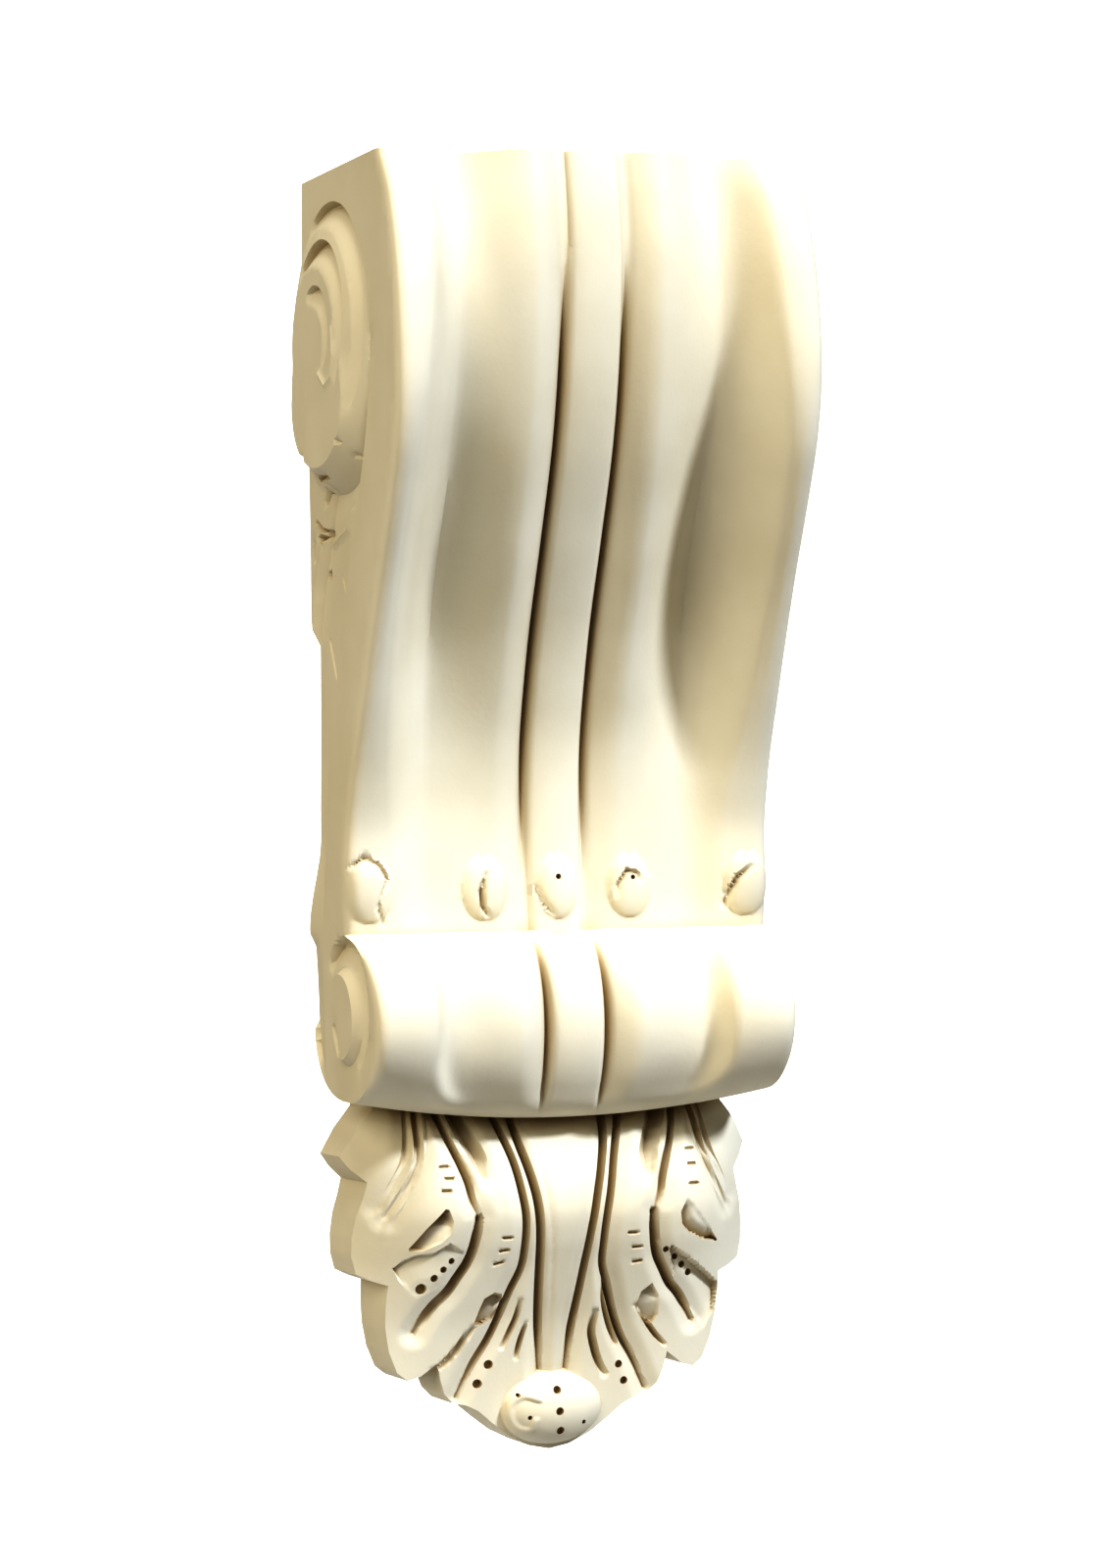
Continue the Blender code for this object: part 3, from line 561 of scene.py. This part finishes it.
def spread(z):
    """Width of the front at a height, as a share of the nominal width."""
    return curve(HALF_WIDTH, z) / HALF_FRONT


def front_rows():
    """The front, from the top edge over the shaft and around the roll back to the wall."""
    xs = across()
    rows = []
    petal_top = PETAL_HEIGHT + PETAL_HALF
    for z in steps(TOP, petal_top, ROW_STEP) + steps(petal_top, CREASE, PETAL_ROW_STEP):
        rows.append((shaft(xs, z), z))
    for j in range(ROLL_ROWS + 1):
        rows.append(roll_row(xs, ROLL_START + (-math.pi / 2 - ROLL_START) * j / ROLL_ROWS))
    level = ROLL_HEIGHT - BEHIND_WALL
    for j in range(1, BACK_ROWS + 1):
        angle = math.pi / 2 * j / BACK_ROWS
        share = 1 - (1 - math.cos(angle)) ** UNDERSIDE_RISE
        out = ROLL_OUT * (1 - math.sin(angle) ** UNDERSIDE_RETREAT)
        rows.append((out, level - (roll_drop(xs) - BEHIND_WALL) * share))
    rows.append((-BEHIND_WALL, level + BACK_EDGE_RISE))
    return [np.stack([xs * spread(z + 0 * xs), out + 0 * xs, z + 0 * xs], axis=1) for out, z in rows]


def polar(out, z, centre, radius):
    """Angle from the top, clockwise as seen from the left, and distance as a share of the radius."""
    dx = np.asarray(out, float) - centre[0]
    dz = np.asarray(z, float) - centre[1]
    return np.arctan2(dx, dz), np.hypot(dx, dz) / radius


def on_ring(centre, radius, turn, share):
    """The point at a turn and a share of the radius."""
    return centre[0] + share * radius * math.sin(turn), centre[1] + share * radius * math.cos(turn)


def channel_swell(turn, start, end):
    """How open a channel is along its length: closed at both ends."""
    share = np.clip((np.asarray(turn, float) - start) / (end - start), 0, 1)
    return np.sin(math.pi * share ** CHANNEL_SKEW) ** CHANNEL_FULLNESS


def channel_width(width, swell):
    """Half width of a channel where it is open by the given share."""
    return width * (CHANNEL_END_WIDTH + (1 - CHANNEL_END_WIDTH) * swell)


def channels(turn, r, rings):
    """Depth of the channels of a scroll: steep on the outer side, sloping on the inner."""
    depth = np.zeros(np.broadcast(turn, r).shape)
    for ring, width, deep, start, end in rings:
        swell = channel_swell(turn, start, end)
        place = (r - ring + CHANNEL_DRIFT * turn) / channel_width(width, swell)
        shape = ramp(-1.0, CHANNEL_BEND, place) * (1 - ramp(CHANNEL_WALL, 1.0, place))
        depth = np.maximum(depth, deep * swell * shape)
    return depth


def channel_line(centre, radius, channel, offset, count=40):
    """Line along one channel, moved in or out by the offset in channel widths."""
    ring, width, depth, start, end = channel
    points = []
    for i in range(count):
        along = CHANNEL_LINE_ENDS + (1 - 2 * CHANNEL_LINE_ENDS) * i / (count - 1)
        turn = start + (end - start) * along
        swell = float(channel_swell(turn, start, end))
        share = ring - CHANNEL_DRIFT * turn + offset * channel_width(width, swell)
        points.append(on_ring(centre, radius, turn, share))
    return points


def dome_edge(turn):
    """Shares of the radius where the upper scroll starts to fall and where it has ended: steeper below."""
    low = ease(*DOME_LOW, -np.cos(turn))
    return DOME_START + DOME_START_GAIN * low, DOME_END + DOME_END_GAIN * low


def ground_gap(out, z):
    """How far a point of the side lies within the sunk ground, negative outside it."""
    turn, r = polar(out, z, UPPER_CENTRE, UPPER_RADIUS)
    from_scroll = (r - dome_edge(turn)[1]) * UPPER_RADIUS
    from_band = (curve(BAND_PROFILE, z) - np.asarray(out, float)) * EDGE_SLANT
    return np.where(np.asarray(z) < UPPER_CENTRE[1], np.minimum(from_scroll, from_band), -1.0)


def husk_gap(out, z):
    """How far a point of the side lies within the husk, negative outside it."""
    heights = [n[0] for n in HUSK_EDGE]
    places = [n[1] for n in HUSK_EDGE]
    edge = np.interp(z, heights, places, left=-2 * BEHIND_WALL)
    return (edge - np.asarray(out, float)) * EDGE_SLANT


def side_relief(out, z):
    """How far the side stands beyond its flat plane, at distance out from the wall and height z."""
    turn, r = polar(out, z, UPPER_CENTRE, UPPER_RADIUS)
    start, end = dome_edge(turn)
    upper = UPPER_BULGE * (1 - ramp(start, end, r)) - channels(turn, r, UPPER_CHANNELS)
    sunk = ramp(0, GROUND_SLOPE, ground_gap(out, z)) * ease(CREASE, GROUND_FADE_END, z)
    upper = upper - GROUND_SINK * sunk + HUSK_RISE * ramp(0, HUSK_SLOPE, husk_gap(out, z)) * sunk
    for path, depth, half in SIDE_MARKS:
        gap, along = path_distance(path, out, z)
        upper = upper - depth * np.clip(1 - gap / half, 0, 1) ** STROKE_POWER
    turn, r = polar(out, z, LOWER_CENTRE, LOWER_RADIUS)
    lower = BOSS_RISE * (1 - ramp(*BOSS_EDGE, r)) - channels(turn, r, LOWER_CHANNELS)
    lower = lower - NECK_SINK * (1 - ease(0, NECK_DEPTH, out))
    gap, along = path_distance(BOSS_SLIT, out, z)
    lower = lower - BOSS_SLIT_DEPTH * np.clip(1 - gap / BOSS_SLIT_HALF, 0, 1)
    return lower + (upper - lower) * ramp(*NECK, z)


def side_lines():
    """Lines of the side's carving that the surface keeps as edges."""
    lines = [list(BOSS_SLIT)]
    for centre, radius, rings in ((UPPER_CENTRE, UPPER_RADIUS, UPPER_CHANNELS),
                                  (LOWER_CENTRE, LOWER_RADIUS, LOWER_CHANNELS)):
        for ring in rings:
            lines.extend(channel_line(centre, radius, ring, offset)
                         for offset in (-1.0, CHANNEL_BEND, CHANNEL_WALL, 1.0))
    for path, depth, half in SIDE_MARKS:
        lines.extend(beside(resample(path, LINE_STEP), offset) for offset in (-half, 0.0, half))
    for share in BOSS_EDGE:
        turns = [2 * math.pi * k / RING_POINTS for k in range(RING_POINTS + 1)]
        lines.append([on_ring(LOWER_CENTRE, LOWER_RADIUS, turn, share) for turn in turns])
    low_turns = [math.pi / 2 + LOW_TURN_STEP * k for k in range(LOW_TURN_FIRST, LOW_TURN_END)]
    lines.append([on_ring(UPPER_CENTRE, UPPER_RADIUS, t, float(dome_edge(t)[0])) for t in low_turns])
    for gap in (0.0, GROUND_SLOPE):
        arc = []
        for turn in low_turns:
            share = float(dome_edge(turn)[1]) + gap / UPPER_RADIUS
            arc.append(on_ring(UPPER_CENTRE, UPPER_RADIUS, turn, share))
        lines.append([p for p in arc if ground_gap(*p) > gap - LINE_SLACK and p[0] > LINE_WALL_LIMIT])
        heights = steps(UPPER_CENTRE[1] - GROUND_TOP_DROP, CREASE + BORDER_SPACE, SIDE_STEP)
        side = [(float(curve(BAND_PROFILE, z)) - gap / EDGE_SLANT, z) for z in heights]
        lines.append([p for p in side if ground_gap(*p) > gap - LINE_SLACK])
    for gap in (0.0, HUSK_SLOPE):
        edge = [(place - gap / EDGE_SLANT, height) for height, place in HUSK_EDGE]
        lines.append([p for p in resample(edge, SIDE_STEP) if ground_gap(*p) > GROUND_SLOPE])
    return lines


def resample(path, step):
    """The same line with corners about one step apart."""
    points = [tuple(path[0])]
    for (ax, az), (bx, bz) in zip(path, path[1:]):
        pieces = max(1, round(math.hypot(bx - ax, bz - az) / step))
        for i in range(1, pieces + 1):
            points.append((ax + (bx - ax) * i / pieces, az + (bz - az) * i / pieces))
    return points


def beside(path, offset):
    """The line moved sideways by the offset."""
    points = []
    last = len(path) - 1
    for k, (x, z) in enumerate(path):
        (ax, az), (bx, bz) = path[max(0, k - 1)], path[min(last, k + 1)]
        length = math.hypot(bx - ax, bz - az)
        points.append((x - (bz - az) / length * offset, z + (bx - ax) / length * offset))
    return points


def edge_gap(outline, x, z):
    """Distance of each point from a closed outline."""
    return path_distance(list(outline) + [outline[0]], x, z)[0]


def grid_inside(outline, step, surface=None):
    """Staggered grid within an outline, kept off its edge, and sparse where the surface is even."""
    xs = [p[0] for p in outline]
    zs = [p[1] for p in outline]
    rows = np.arange(int((max(zs) - min(zs)) / (step * ROW_PITCH)) + 1)
    places = np.arange(int((max(xs) - min(xs)) / step) + 2)
    j, i = np.meshgrid(rows, places, indexing="ij")
    x = min(xs) + step * 0.5 * (j % 2) + i * step + GRID_SHIFT
    z = min(zs) + step * GRID_START + j * step * ROW_PITCH
    keep = inside(outline, x, z) & (edge_gap(outline, x, z) > step * EDGE_SPACE)
    if surface is not None:
        bend = np.zeros(x.shape)
        for dx, dz in ((step, 0), (0, step), (step, step), (step, -step)):
            around = surface(x + dx, z + dz) + surface(x - dx, z - dz)
            bend = np.maximum(bend, np.abs(around - 2 * surface(x, z)))
        keep &= (bend > EVEN_BEND) | ((j % SIDE_SPARSE == 0) & (i % SIDE_SPARSE == 0))
    return x[keep], z[keep]


def near_lines(lines, x, z, gap):
    """Whether each point lies within the gap of a corner of the lines."""
    close = np.zeros(len(x), bool)
    corners = np.array([p for line in lines for p in line])
    corners = corners[np.argsort(corners[:, 1])]
    low = np.searchsorted(corners[:, 1], z - gap)
    high = np.searchsorted(corners[:, 1], z + gap)
    for k in range(len(x)):
        part = corners[low[k]:high[k]]
        if len(part):
            close[k] = np.min(np.hypot(part[:, 0] - x[k], part[:, 1] - z[k])) < gap
    return close


def fill(outline, step, lines, surface=None):
    """Triangles filling a closed outline at about one step, with the given lines kept as edges."""
    lines = [line for line in lines if len(line) > 1]
    lines = [line for line in lines if inside(outline, *np.array(line).T).all()]
    lines = [line for line in lines if edge_gap(outline, *np.array(line).T).min() > step * LINE_EDGE_SPACE]
    x, z = grid_inside(outline, step, surface)
    free = ~near_lines(lines, x, z, step * LINE_SPACE)
    count = len(outline)
    points = [Vector(p) for p in outline] + [Vector(p) for p in zip(x[free], z[free])]
    edges = [(i, (i + 1) % count) for i in range(count)]
    for line in lines:
        first = len(points)
        points.extend(Vector(p) for p in line)
        edges.extend((first + k, first + k + 1) for k in range(len(line) - 1))
    found = delaunay_2d_cdt(points, edges, [list(range(count))], 1, 1e-5)
    return np.array([tuple(p) for p in found[0]]), np.array([tuple(f) for f in found[2]])


def body_mesh(rows):
    """Closed body: fluted front, two carved sides, flat top and flat back."""
    wide = len(rows[0])
    verts = [tuple(point) for row in rows for point in row.tolist()]
    faces = []
    for i in range(len(rows) - 1):
        for j in range(wide - 1):
            a = i * wide + j
            faces.append((a, a + wide, a + wide + 1, a + 1))
    front = [(float(row[-1][1]), float(row[-1][2])) for row in rows]
    back = steps(front[-1][1], TOP, SIDE_STEP * SIDE_SPARSE)[1:] + [TOP]
    top = steps(-BEHIND_WALL, front[0][0], SIDE_STEP * SIDE_SPARSE)[1:]
    outline = front + [(-BEHIND_WALL, z) for z in back] + [(out, TOP) for out in top]
    flat, triangles = fill(outline, SIDE_STEP, side_lines(), side_relief)
    half = curve(HALF_WIDTH, flat[:, 1])
    free = (np.arange(len(flat)) >= len(front)) & (flat[:, 1] < TOP - BORDER_SPACE)
    half = half + np.where(free, side_relief(flat[:, 0], flat[:, 1]), 0.0)
    starts = []
    for side in (-1, 1):
        base = len(verts)
        starts.append(base)
        verts.extend(zip((side * half).tolist(), flat[:, 0].tolist(), flat[:, 1].tolist()))
        order = slice(None, None, 1 if side < 0 else -1)
        faces.extend(tuple(base + k for k in triangle[order]) for triangle in triangles.tolist())
    up = list(range(len(front), len(front) + len(back)))
    over = list(range(up[-1], len(outline)))
    last_row = (len(rows) - 1) * wide
    faces.append(flat_face(range(wide), over[::-1], starts))
    faces.append(flat_face(range(last_row, last_row + wide), up, starts))
    return verts, faces


def flat_face(row, along, starts):
    """One flat face between a row of the front and the same run of border points on both sides."""
    left, right = starts
    return tuple(row) + tuple(right + k for k in along) + tuple(left + k for k in reversed(along))


def leaf_height(x, z):
    """Distance out of the leaf's carved front at x and height z."""
    ax = np.abs(x)
    out = curve(LEAF_MIDDLE, z)
    past = (ax - LEAF_FALL_START) / (LEAF_FALL_END - LEAF_FALL_START)
    fall = np.clip(past, 0, LEAF_FALL_LIMIT) ** LEAF_FALL_POWER
    out = out - (out - LEAF_EDGE_LEVEL) * LEAF_FALL_SHARE * fall
    nearest = np.full(np.shape(ax), SWELL_WIDTH)
    for path, depth, half in VEINS:
        gap, along = path_distance(smooth_path(path), ax, z)
        opened = VEIN_START_DEPTH + (1 - VEIN_START_DEPTH) * ease(0, VEIN_OPEN, along)
        taper = opened * (1 - VEIN_DEPTH_LOST * ease(VEIN_CLOSING, 1.0, along))
        narrowed = half * taper ** VEIN_NARROWING
        out = out - depth * np.clip(1 - gap / narrowed, 0, 1) ** VEIN_SHARPNESS * taper
        nearest = np.minimum(nearest, gap)
    out = out + LEAFLET_SWELL * (ease(0, SWELL_WIDTH, nearest) - 0.5)
    for path, rise, half in RIBS:
        gap, along = path_distance(smooth_path(path), ax, z)
        ridge = np.cos(0.5 * math.pi * np.clip(gap / half, 0, 1))
        out = out + rise * ridge * (1 - ease(RIB_CLOSING, 1.0, along))
    for sign, cuts, fields, ticks in ((-1, LEFT_CUTS, LEFT_FIELDS, LEFT_TICKS),
                                      (1, RIGHT_CUTS, RIGHT_FIELDS, RIGHT_TICKS)):
        out = out - half_cuts(sign * x, z, cuts, fields, ticks)
    return np.maximum(out, LEAF_LEAST)


def half_cuts(x, z, cuts, fields, ticks):
    """Depth of the cuts, sunk fields and short strokes of one half, with x counted from the middle."""
    deep = np.zeros(np.shape(x))
    for path, depth, half in cuts:
        gap, along = path_distance(smooth_path(path), x, z)
        deep = np.maximum(deep, depth * cut_wall(gap, half) * cut_ends(along, CUT_ENDS))
    for outline, deepest, depth, width in fields:
        within = inside(list(outline), x, z)
        gap, along = path_distance(deepest, x, z)
        rim = ease(0, FIELD_RIM, edge_gap(outline, x, z))
        slope = 1 - FIELD_LOSS * ramp(0, width, gap) ** FIELD_POWER
        deep = np.maximum(deep, np.where(within, depth * rim * slope, 0))
    for middle, height, slope in ticks:
        gap, along = path_distance(tick_line(middle, height, slope), x, z)
        deep = deep + TICK_DEPTH * np.clip(1 - gap / TICK_HALF_WIDTH, 0, 1) ** STROKE_POWER
    return deep


def tick_line(middle, height, slope):
    """A short stroke as a line of two points."""
    reach = TICK_HALF_LENGTH - TICK_HALF_WIDTH
    return [(middle - reach, height - slope * reach), (middle + reach, height + slope * reach)]


def leaf_lines():
    """Lines of the leaf's carving that the surface keeps as edges."""
    lines = []
    for path, depth, reach in VEINS + RIBS:
        for offset in (-reach, 0.0, reach):
            line = beside(smooth_path(path), offset)
            lines.append(line)
            lines.append([(-x, z) for x, z in line])
    for sign, cuts, fields, ticks in ((-1, LEFT_CUTS, LEFT_FIELDS, LEFT_TICKS),
                                      (1, RIGHT_CUTS, RIGHT_FIELDS, RIGHT_TICKS)):
        found = []
        for path, depth, reach in cuts:
            found.extend(beside(smooth_path(path), offset) for offset in (-reach, 0.0, reach))
        for outline, deepest, depth, width in fields:
            found.append(resample(list(outline) + [outline[0]], FIELD_LINE_STEP))
        for middle, height, slope in ticks:
            line = resample(tick_line(middle, height, slope), LINE_STEP)
            found.extend(beside(line, offset) for offset in (-TICK_HALF_WIDTH, 0.0, TICK_HALF_WIDTH))
        lines.extend([(sign * x, z) for x, z in line] for line in found)
    return lines


def leaf_mesh():
    """Leaf: carved front, straight sides back to the wall and a flat back."""
    half = resample(LEAF_OUTLINE, OUTLINE_STEP)
    outline = half + [LEAF_FOOT] + [(-x, z) for x, z in reversed(half)]
    outline.reverse()
    flat, triangles = fill(outline, LEAF_STEP, leaf_lines())
    height = leaf_height(flat[:, 0], flat[:, 1])
    verts = list(zip(flat[:, 0].tolist(), height.tolist(), flat[:, 1].tolist()))
    faces = [tuple(t) for t in triangles.tolist()]
    base = len(verts)
    verts.extend((x, -LEAF_BEHIND_WALL, z) for x, z in outline)
    count = len(outline)
    for i in range(count):
        k = (i + 1) % count
        faces.append((i, base + i, base + k, k))
    faces.append(tuple(range(base, base + count)))
    return verts, faces


def tip_mesh():
    """The curled end of the leaf: a flattened ball with a small spiral."""
    around, down = TIP_AROUND, TIP_DOWN
    spiral = smooth_path(TIP_SPIRAL, LINE_STEP)
    verts, faces = [], []
    for j in range(down + 1):
        tilt = math.pi * j / down
        for i in range(around):
            turn = 2 * math.pi * i / around
            level = math.sin(tilt)
            unit = np.array((level * math.cos(turn), math.cos(tilt), level * math.sin(turn)))
            point = np.array(TIP_CENTRE) + np.array(TIP_SIZE) * unit
            verts.append(point + unit * spiral_rise(point, spiral))
    for j in range(down):
        for i in range(around):
            k = (i + 1) % around
            upper, lower = j * around, (j + 1) * around
            faces.append((upper + i, upper + k, lower + k, lower + i))
    return [tuple(v.tolist()) for v in verts], faces


def spiral_rise(point, spiral):
    """How far the spiral stands out at a point of the tip's front."""
    if point[1] < TIP_CENTRE[1]:
        return 0.0
    gap, along = path_distance(spiral, point[0], point[2])
    ridge = math.cos(0.5 * math.pi * min(1.0, float(gap) / SPIRAL_HALF))
    return SPIRAL_RISE * (ridge * (1 - SPIRAL_TAPER * float(along)))


def to_metres(points):
    """Points drawn as place across, distance out and height, at the size of the CAD corbel."""
    size = CAD_HIGH - CAD_LOW
    scale = np.array((size.x / DRAWN_WIDTH, -size.y / DRAWN_REACH, size.z / DRAWN_HEIGHT))
    return np.array(points, float) * scale


def make_object(name, verts, faces):
    """Closed object from drawn points."""
    mesh = bpy.data.meshes.new(name)
    mesh.from_pydata(to_metres(verts).tolist(), [], faces)
    bm = bmesh.new()
    bm.from_mesh(mesh)
    bmesh.ops.remove_doubles(bm, verts=bm.verts, dist=MERGE_GAP)
    bmesh.ops.triangulate(bm, faces=[f for f in bm.faces if len(f.verts) > 3])
    bmesh.ops.recalc_face_normals(bm, faces=bm.faces)
    bm.to_mesh(mesh)
    bm.free()
    thing = bpy.data.objects.new(name, mesh)
    bpy.context.scene.collection.objects.link(thing)
    return thing


def drill_mesh():
    """All drilled holes as one set of short rods along the way into the plaster."""
    sides = DRILL_SIDES
    verts, faces = [], []
    holes = [(x, float(leaf_height(np.array([x]), np.array([z]))[0]), z, r) for x, z, r in LEAF_HOLES]
    for x, z, r in TIP_HOLES:
        u = (x - TIP_CENTRE[0]) / TIP_SIZE[0]
        w = (z - TIP_CENTRE[2]) / TIP_SIZE[2]
        holes.append((x, TIP_CENTRE[1] + TIP_SIZE[1] * math.sqrt(max(0.0, 1 - u * u - w * w)), z, r))
    holes.extend((x, float(shaft(np.array([x]), z)[0]), z, r) for x, z, r in BUD_HOLES)
    for x, out, z, r in holes:
        base = len(verts)
        for depth, share in ((DRILL_CLEAR, 1.0), (-HOLE_DEPTH, HOLE_TAPER)):
            for k in range(sides):
                turn = 2 * math.pi * k / sides
                verts.append((x + r * share * math.cos(turn), out + depth, z + r * share * math.sin(turn)))
        for k in range(sides):
            n = (k + 1) % sides
            faces.append((base + k, base + n, base + sides + n, base + sides + k))
        faces.append(tuple(base + k for k in reversed(range(sides))))
        faces.append(tuple(base + sides + k for k in range(sides)))
    return verts, faces


def wall_mesh():
    """Block standing where the wall is."""
    deep, wide, high = 50.0, 250.0, 400.0
    verts = [(x, out, z) for x in (-wide, wide) for out in (0.0, -deep) for z in (-high, high)]
    faces = [(0, 1, 3, 2), (4, 6, 7, 5), (0, 4, 5, 1), (2, 3, 7, 6), (0, 2, 6, 4), (1, 5, 7, 3)]
    return verts, faces


def combine(target, operation, other):
    """Joins or cuts the target with another object, which is used up."""
    modifier = target.modifiers.new("combine", "BOOLEAN")
    modifier.operation = operation
    modifier.object = other
    modifier.solver = "MANIFOLD"
    shape = target.evaluated_get(bpy.context.evaluated_depsgraph_get())
    mesh = bpy.data.meshes.new_from_object(shape)
    target.modifiers.clear()
    old = target.data
    target.data = mesh
    bpy.data.meshes.remove(old)
    bpy.data.objects.remove(other, do_unlink=True)


def carved_corbel():
    """The whole corbel as one closed mesh."""
    body = make_object("carved_corbel", *body_mesh(front_rows()))
    combine(body, "UNION", make_object("leaf", *leaf_mesh()))
    combine(body, "UNION", make_object("tip", *tip_mesh()))
    combine(body, "DIFFERENCE", make_object("drill", *drill_mesh()))
    combine(body, "DIFFERENCE", make_object("wall", *wall_mesh()))
    body.data.shade_smooth()
    body.data.set_sharp_from_angle(angle=SHARP_ANGLE)
    return body


def plaster():
    """Cream cast plaster: a little uneven in tone, with painted shade darkening its hollows, and a fine
    grain.
    """
    material = bpy.data.materials.new("cast_plaster")
    material.use_nodes = True
    nodes = material.node_tree.nodes
    link = material.node_tree.links.new
    shader = nodes["Principled BSDF"]
    shader.inputs["Roughness"].default_value = 0.72
    shader.inputs["Specular IOR Level"].default_value = 0.25
    place = nodes.new("ShaderNodeTexCoord")
    cloud = nodes.new("ShaderNodeTexNoise")
    cloud.inputs["Scale"].default_value = CLOUD_SCALE
    cloud.inputs["Detail"].default_value = 4.0
    tone = nodes.new("ShaderNodeValToRGB")
    tone.color_ramp.elements[0].position = 0.35
    tone.color_ramp.elements[0].color = PLASTER_DARK
    tone.color_ramp.elements[1].position = 0.65
    tone.color_ramp.elements[1].color = PLASTER_LIGHT
    # Painted shade: ambient occlusion darkens hollows and grooves towards a brown tone, standing in for the
    # shade that falls in them
    painted_shade_occlusion = nodes.new("ShaderNodeAmbientOcclusion")
    painted_shade_occlusion.inputs["Distance"].default_value = PAINTED_SHADE_REACH
    painted_shade_occlusion.samples = 8
    depth = nodes.new("ShaderNodeValToRGB")
    depth.color_ramp.elements[0].position = 0.15
    depth.color_ramp.elements[0].color = (1.0, 1.0, 1.0, 1.0)
    depth.color_ramp.elements[1].position = 0.85
    depth.color_ramp.elements[1].color = (0.0, 0.0, 0.0, 1.0)
    painted_shade_mix = nodes.new("ShaderNodeMix")
    painted_shade_mix.data_type = "RGBA"
    colour_a, painted_shade_colour = painted_shade_mix.inputs[6], painted_shade_mix.inputs[7]
    painted_shade_colour.default_value = PAINTED_SHADE_TONE
    grain = nodes.new("ShaderNodeTexNoise")
    grain.inputs["Scale"].default_value = GRAIN_SCALE
    grain.inputs["Detail"].default_value = 3.0
    bump = nodes.new("ShaderNodeBump")
    bump.inputs["Strength"].default_value = 0.12
    bump.inputs["Distance"].default_value = GRAIN_HEIGHT
    link(place.outputs["Object"], cloud.inputs["Vector"])
    link(place.outputs["Object"], grain.inputs["Vector"])
    link(cloud.outputs["Fac"], tone.inputs["Fac"])
    link(painted_shade_occlusion.outputs["AO"], depth.inputs["Fac"])
    link(depth.outputs["Color"], painted_shade_mix.inputs["Factor"])
    link(tone.outputs["Color"], colour_a)
    link(painted_shade_mix.outputs[2], shader.inputs["Base Color"])
    link(grain.outputs["Fac"], bump.inputs["Height"])
    link(bump.outputs["Normal"], shader.inputs["Normal"])
    return material


def white_surface(name, glow):
    """Plain pale material for the surroundings."""
    material = bpy.data.materials.new(name)
    material.use_nodes = True
    shader = material.node_tree.nodes["Principled BSDF"]
    shader.inputs["Base Color"].default_value = (0.92, 0.92, 0.92, 1.0)
    shader.inputs["Roughness"].default_value = 0.9
    shader.inputs["Emission Color"].default_value = (1.0, 1.0, 1.0, 1.0)
    shader.inputs["Emission Strength"].default_value = glow
    return material


def plane(name, half, place, glow):
    """Plain pale square of the surroundings, lying level."""
    mesh = bpy.data.meshes.new(name)
    bm = bmesh.new()
    bmesh.ops.create_grid(bm, x_segments=1, y_segments=1, size=half)
    bm.to_mesh(mesh)
    bm.free()
    mesh.materials.append(white_surface(f"pale_{name}", glow))
    thing = bpy.data.objects.new(name, mesh)
    thing.location = place
    bpy.context.scene.collection.objects.link(thing)
    return thing


def surroundings():
    """A plain pale floor and a plain pale backdrop far behind the corbel."""
    floor = plane("floor", FLOOR_HALF, (0.0, 0.0, FLOOR_LEVEL), 0.0)
    behind = (BACKDROP_DISTANCE * math.sin(CAMERA_TURN), BACKDROP_DISTANCE * math.cos(CAMERA_TURN),
              BACKDROP_HEIGHT)
    backdrop = plane("backdrop", BACKDROP_HALF, behind, BACKDROP_GLOW)
    backdrop.rotation_euler = (math.pi / 2, 0.0, -CAMERA_TURN)
    return floor, backdrop


def sun(name, azimuth, lift, strength, size, colour):
    """Light from far away, standing at an angle right of the front and an angle above level."""
    turn, rise = math.radians(azimuth), math.radians(lift)
    travel = Vector((-math.sin(turn) * math.cos(rise), math.cos(turn) * math.cos(rise), -math.sin(rise)))
    light = bpy.data.lights.new(name, "SUN")
    light.energy = strength
    light.angle = math.radians(size)
    light.color = colour
    thing = bpy.data.objects.new(name, light)
    thing.rotation_euler = travel.to_track_quat("-Z", "Y").to_euler()
    bpy.context.scene.collection.objects.link(thing)


def lights():
    """Strong soft key from the upper right, warmer light from above and the left and a dim even room."""
    for one in SUNS:
        sun(*one)
    world = bpy.data.worlds.new("room")
    bpy.context.scene.world = world
    world.use_nodes = True
    room = world.node_tree.nodes["Background"]
    room.inputs["Color"].default_value = ROOM_COLOUR
    room.inputs["Strength"].default_value = ROOM_STRENGTH


def camera():
    """Camera at the photograph's angle."""
    turn, lift = CAMERA_TURN, CAMERA_LIFT
    back = Vector((-math.sin(turn) * math.cos(lift), -math.cos(turn) * math.cos(lift), math.sin(lift)))
    eye = Vector(AIM) + back * CAMERA_DISTANCE
    level = (-back).cross(Vector((0, 0, 1))).normalized()
    upright = level.cross(-back)
    right = level * math.cos(CAMERA_ROLL) + upright * math.sin(CAMERA_ROLL)
    up = upright * math.cos(CAMERA_ROLL) - level * math.sin(CAMERA_ROLL)
    data = bpy.data.cameras.new("camera")
    data.lens = CAMERA_LENS
    data.sensor_width = 36.0
    thing = bpy.data.objects.new("camera", data)
    thing.matrix_world = Matrix(((right.x, up.x, back.x, eye.x), (right.y, up.y, back.y, eye.y),
                                 (right.z, up.z, back.z, eye.z), (0, 0, 0, 1)))
    bpy.context.scene.collection.objects.link(thing)
    bpy.context.scene.camera = thing


camera()
lights()
corbel = carved_corbel()
corbel.data.materials.clear()
corbel.data.materials.append(plaster())
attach(corbel, "root")
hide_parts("corbel")
for thing in surroundings():
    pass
bpy.context.scene.view_settings.view_transform = "Standard"
bpy.context.scene.view_settings.gamma = DISPLAY_GAMMA
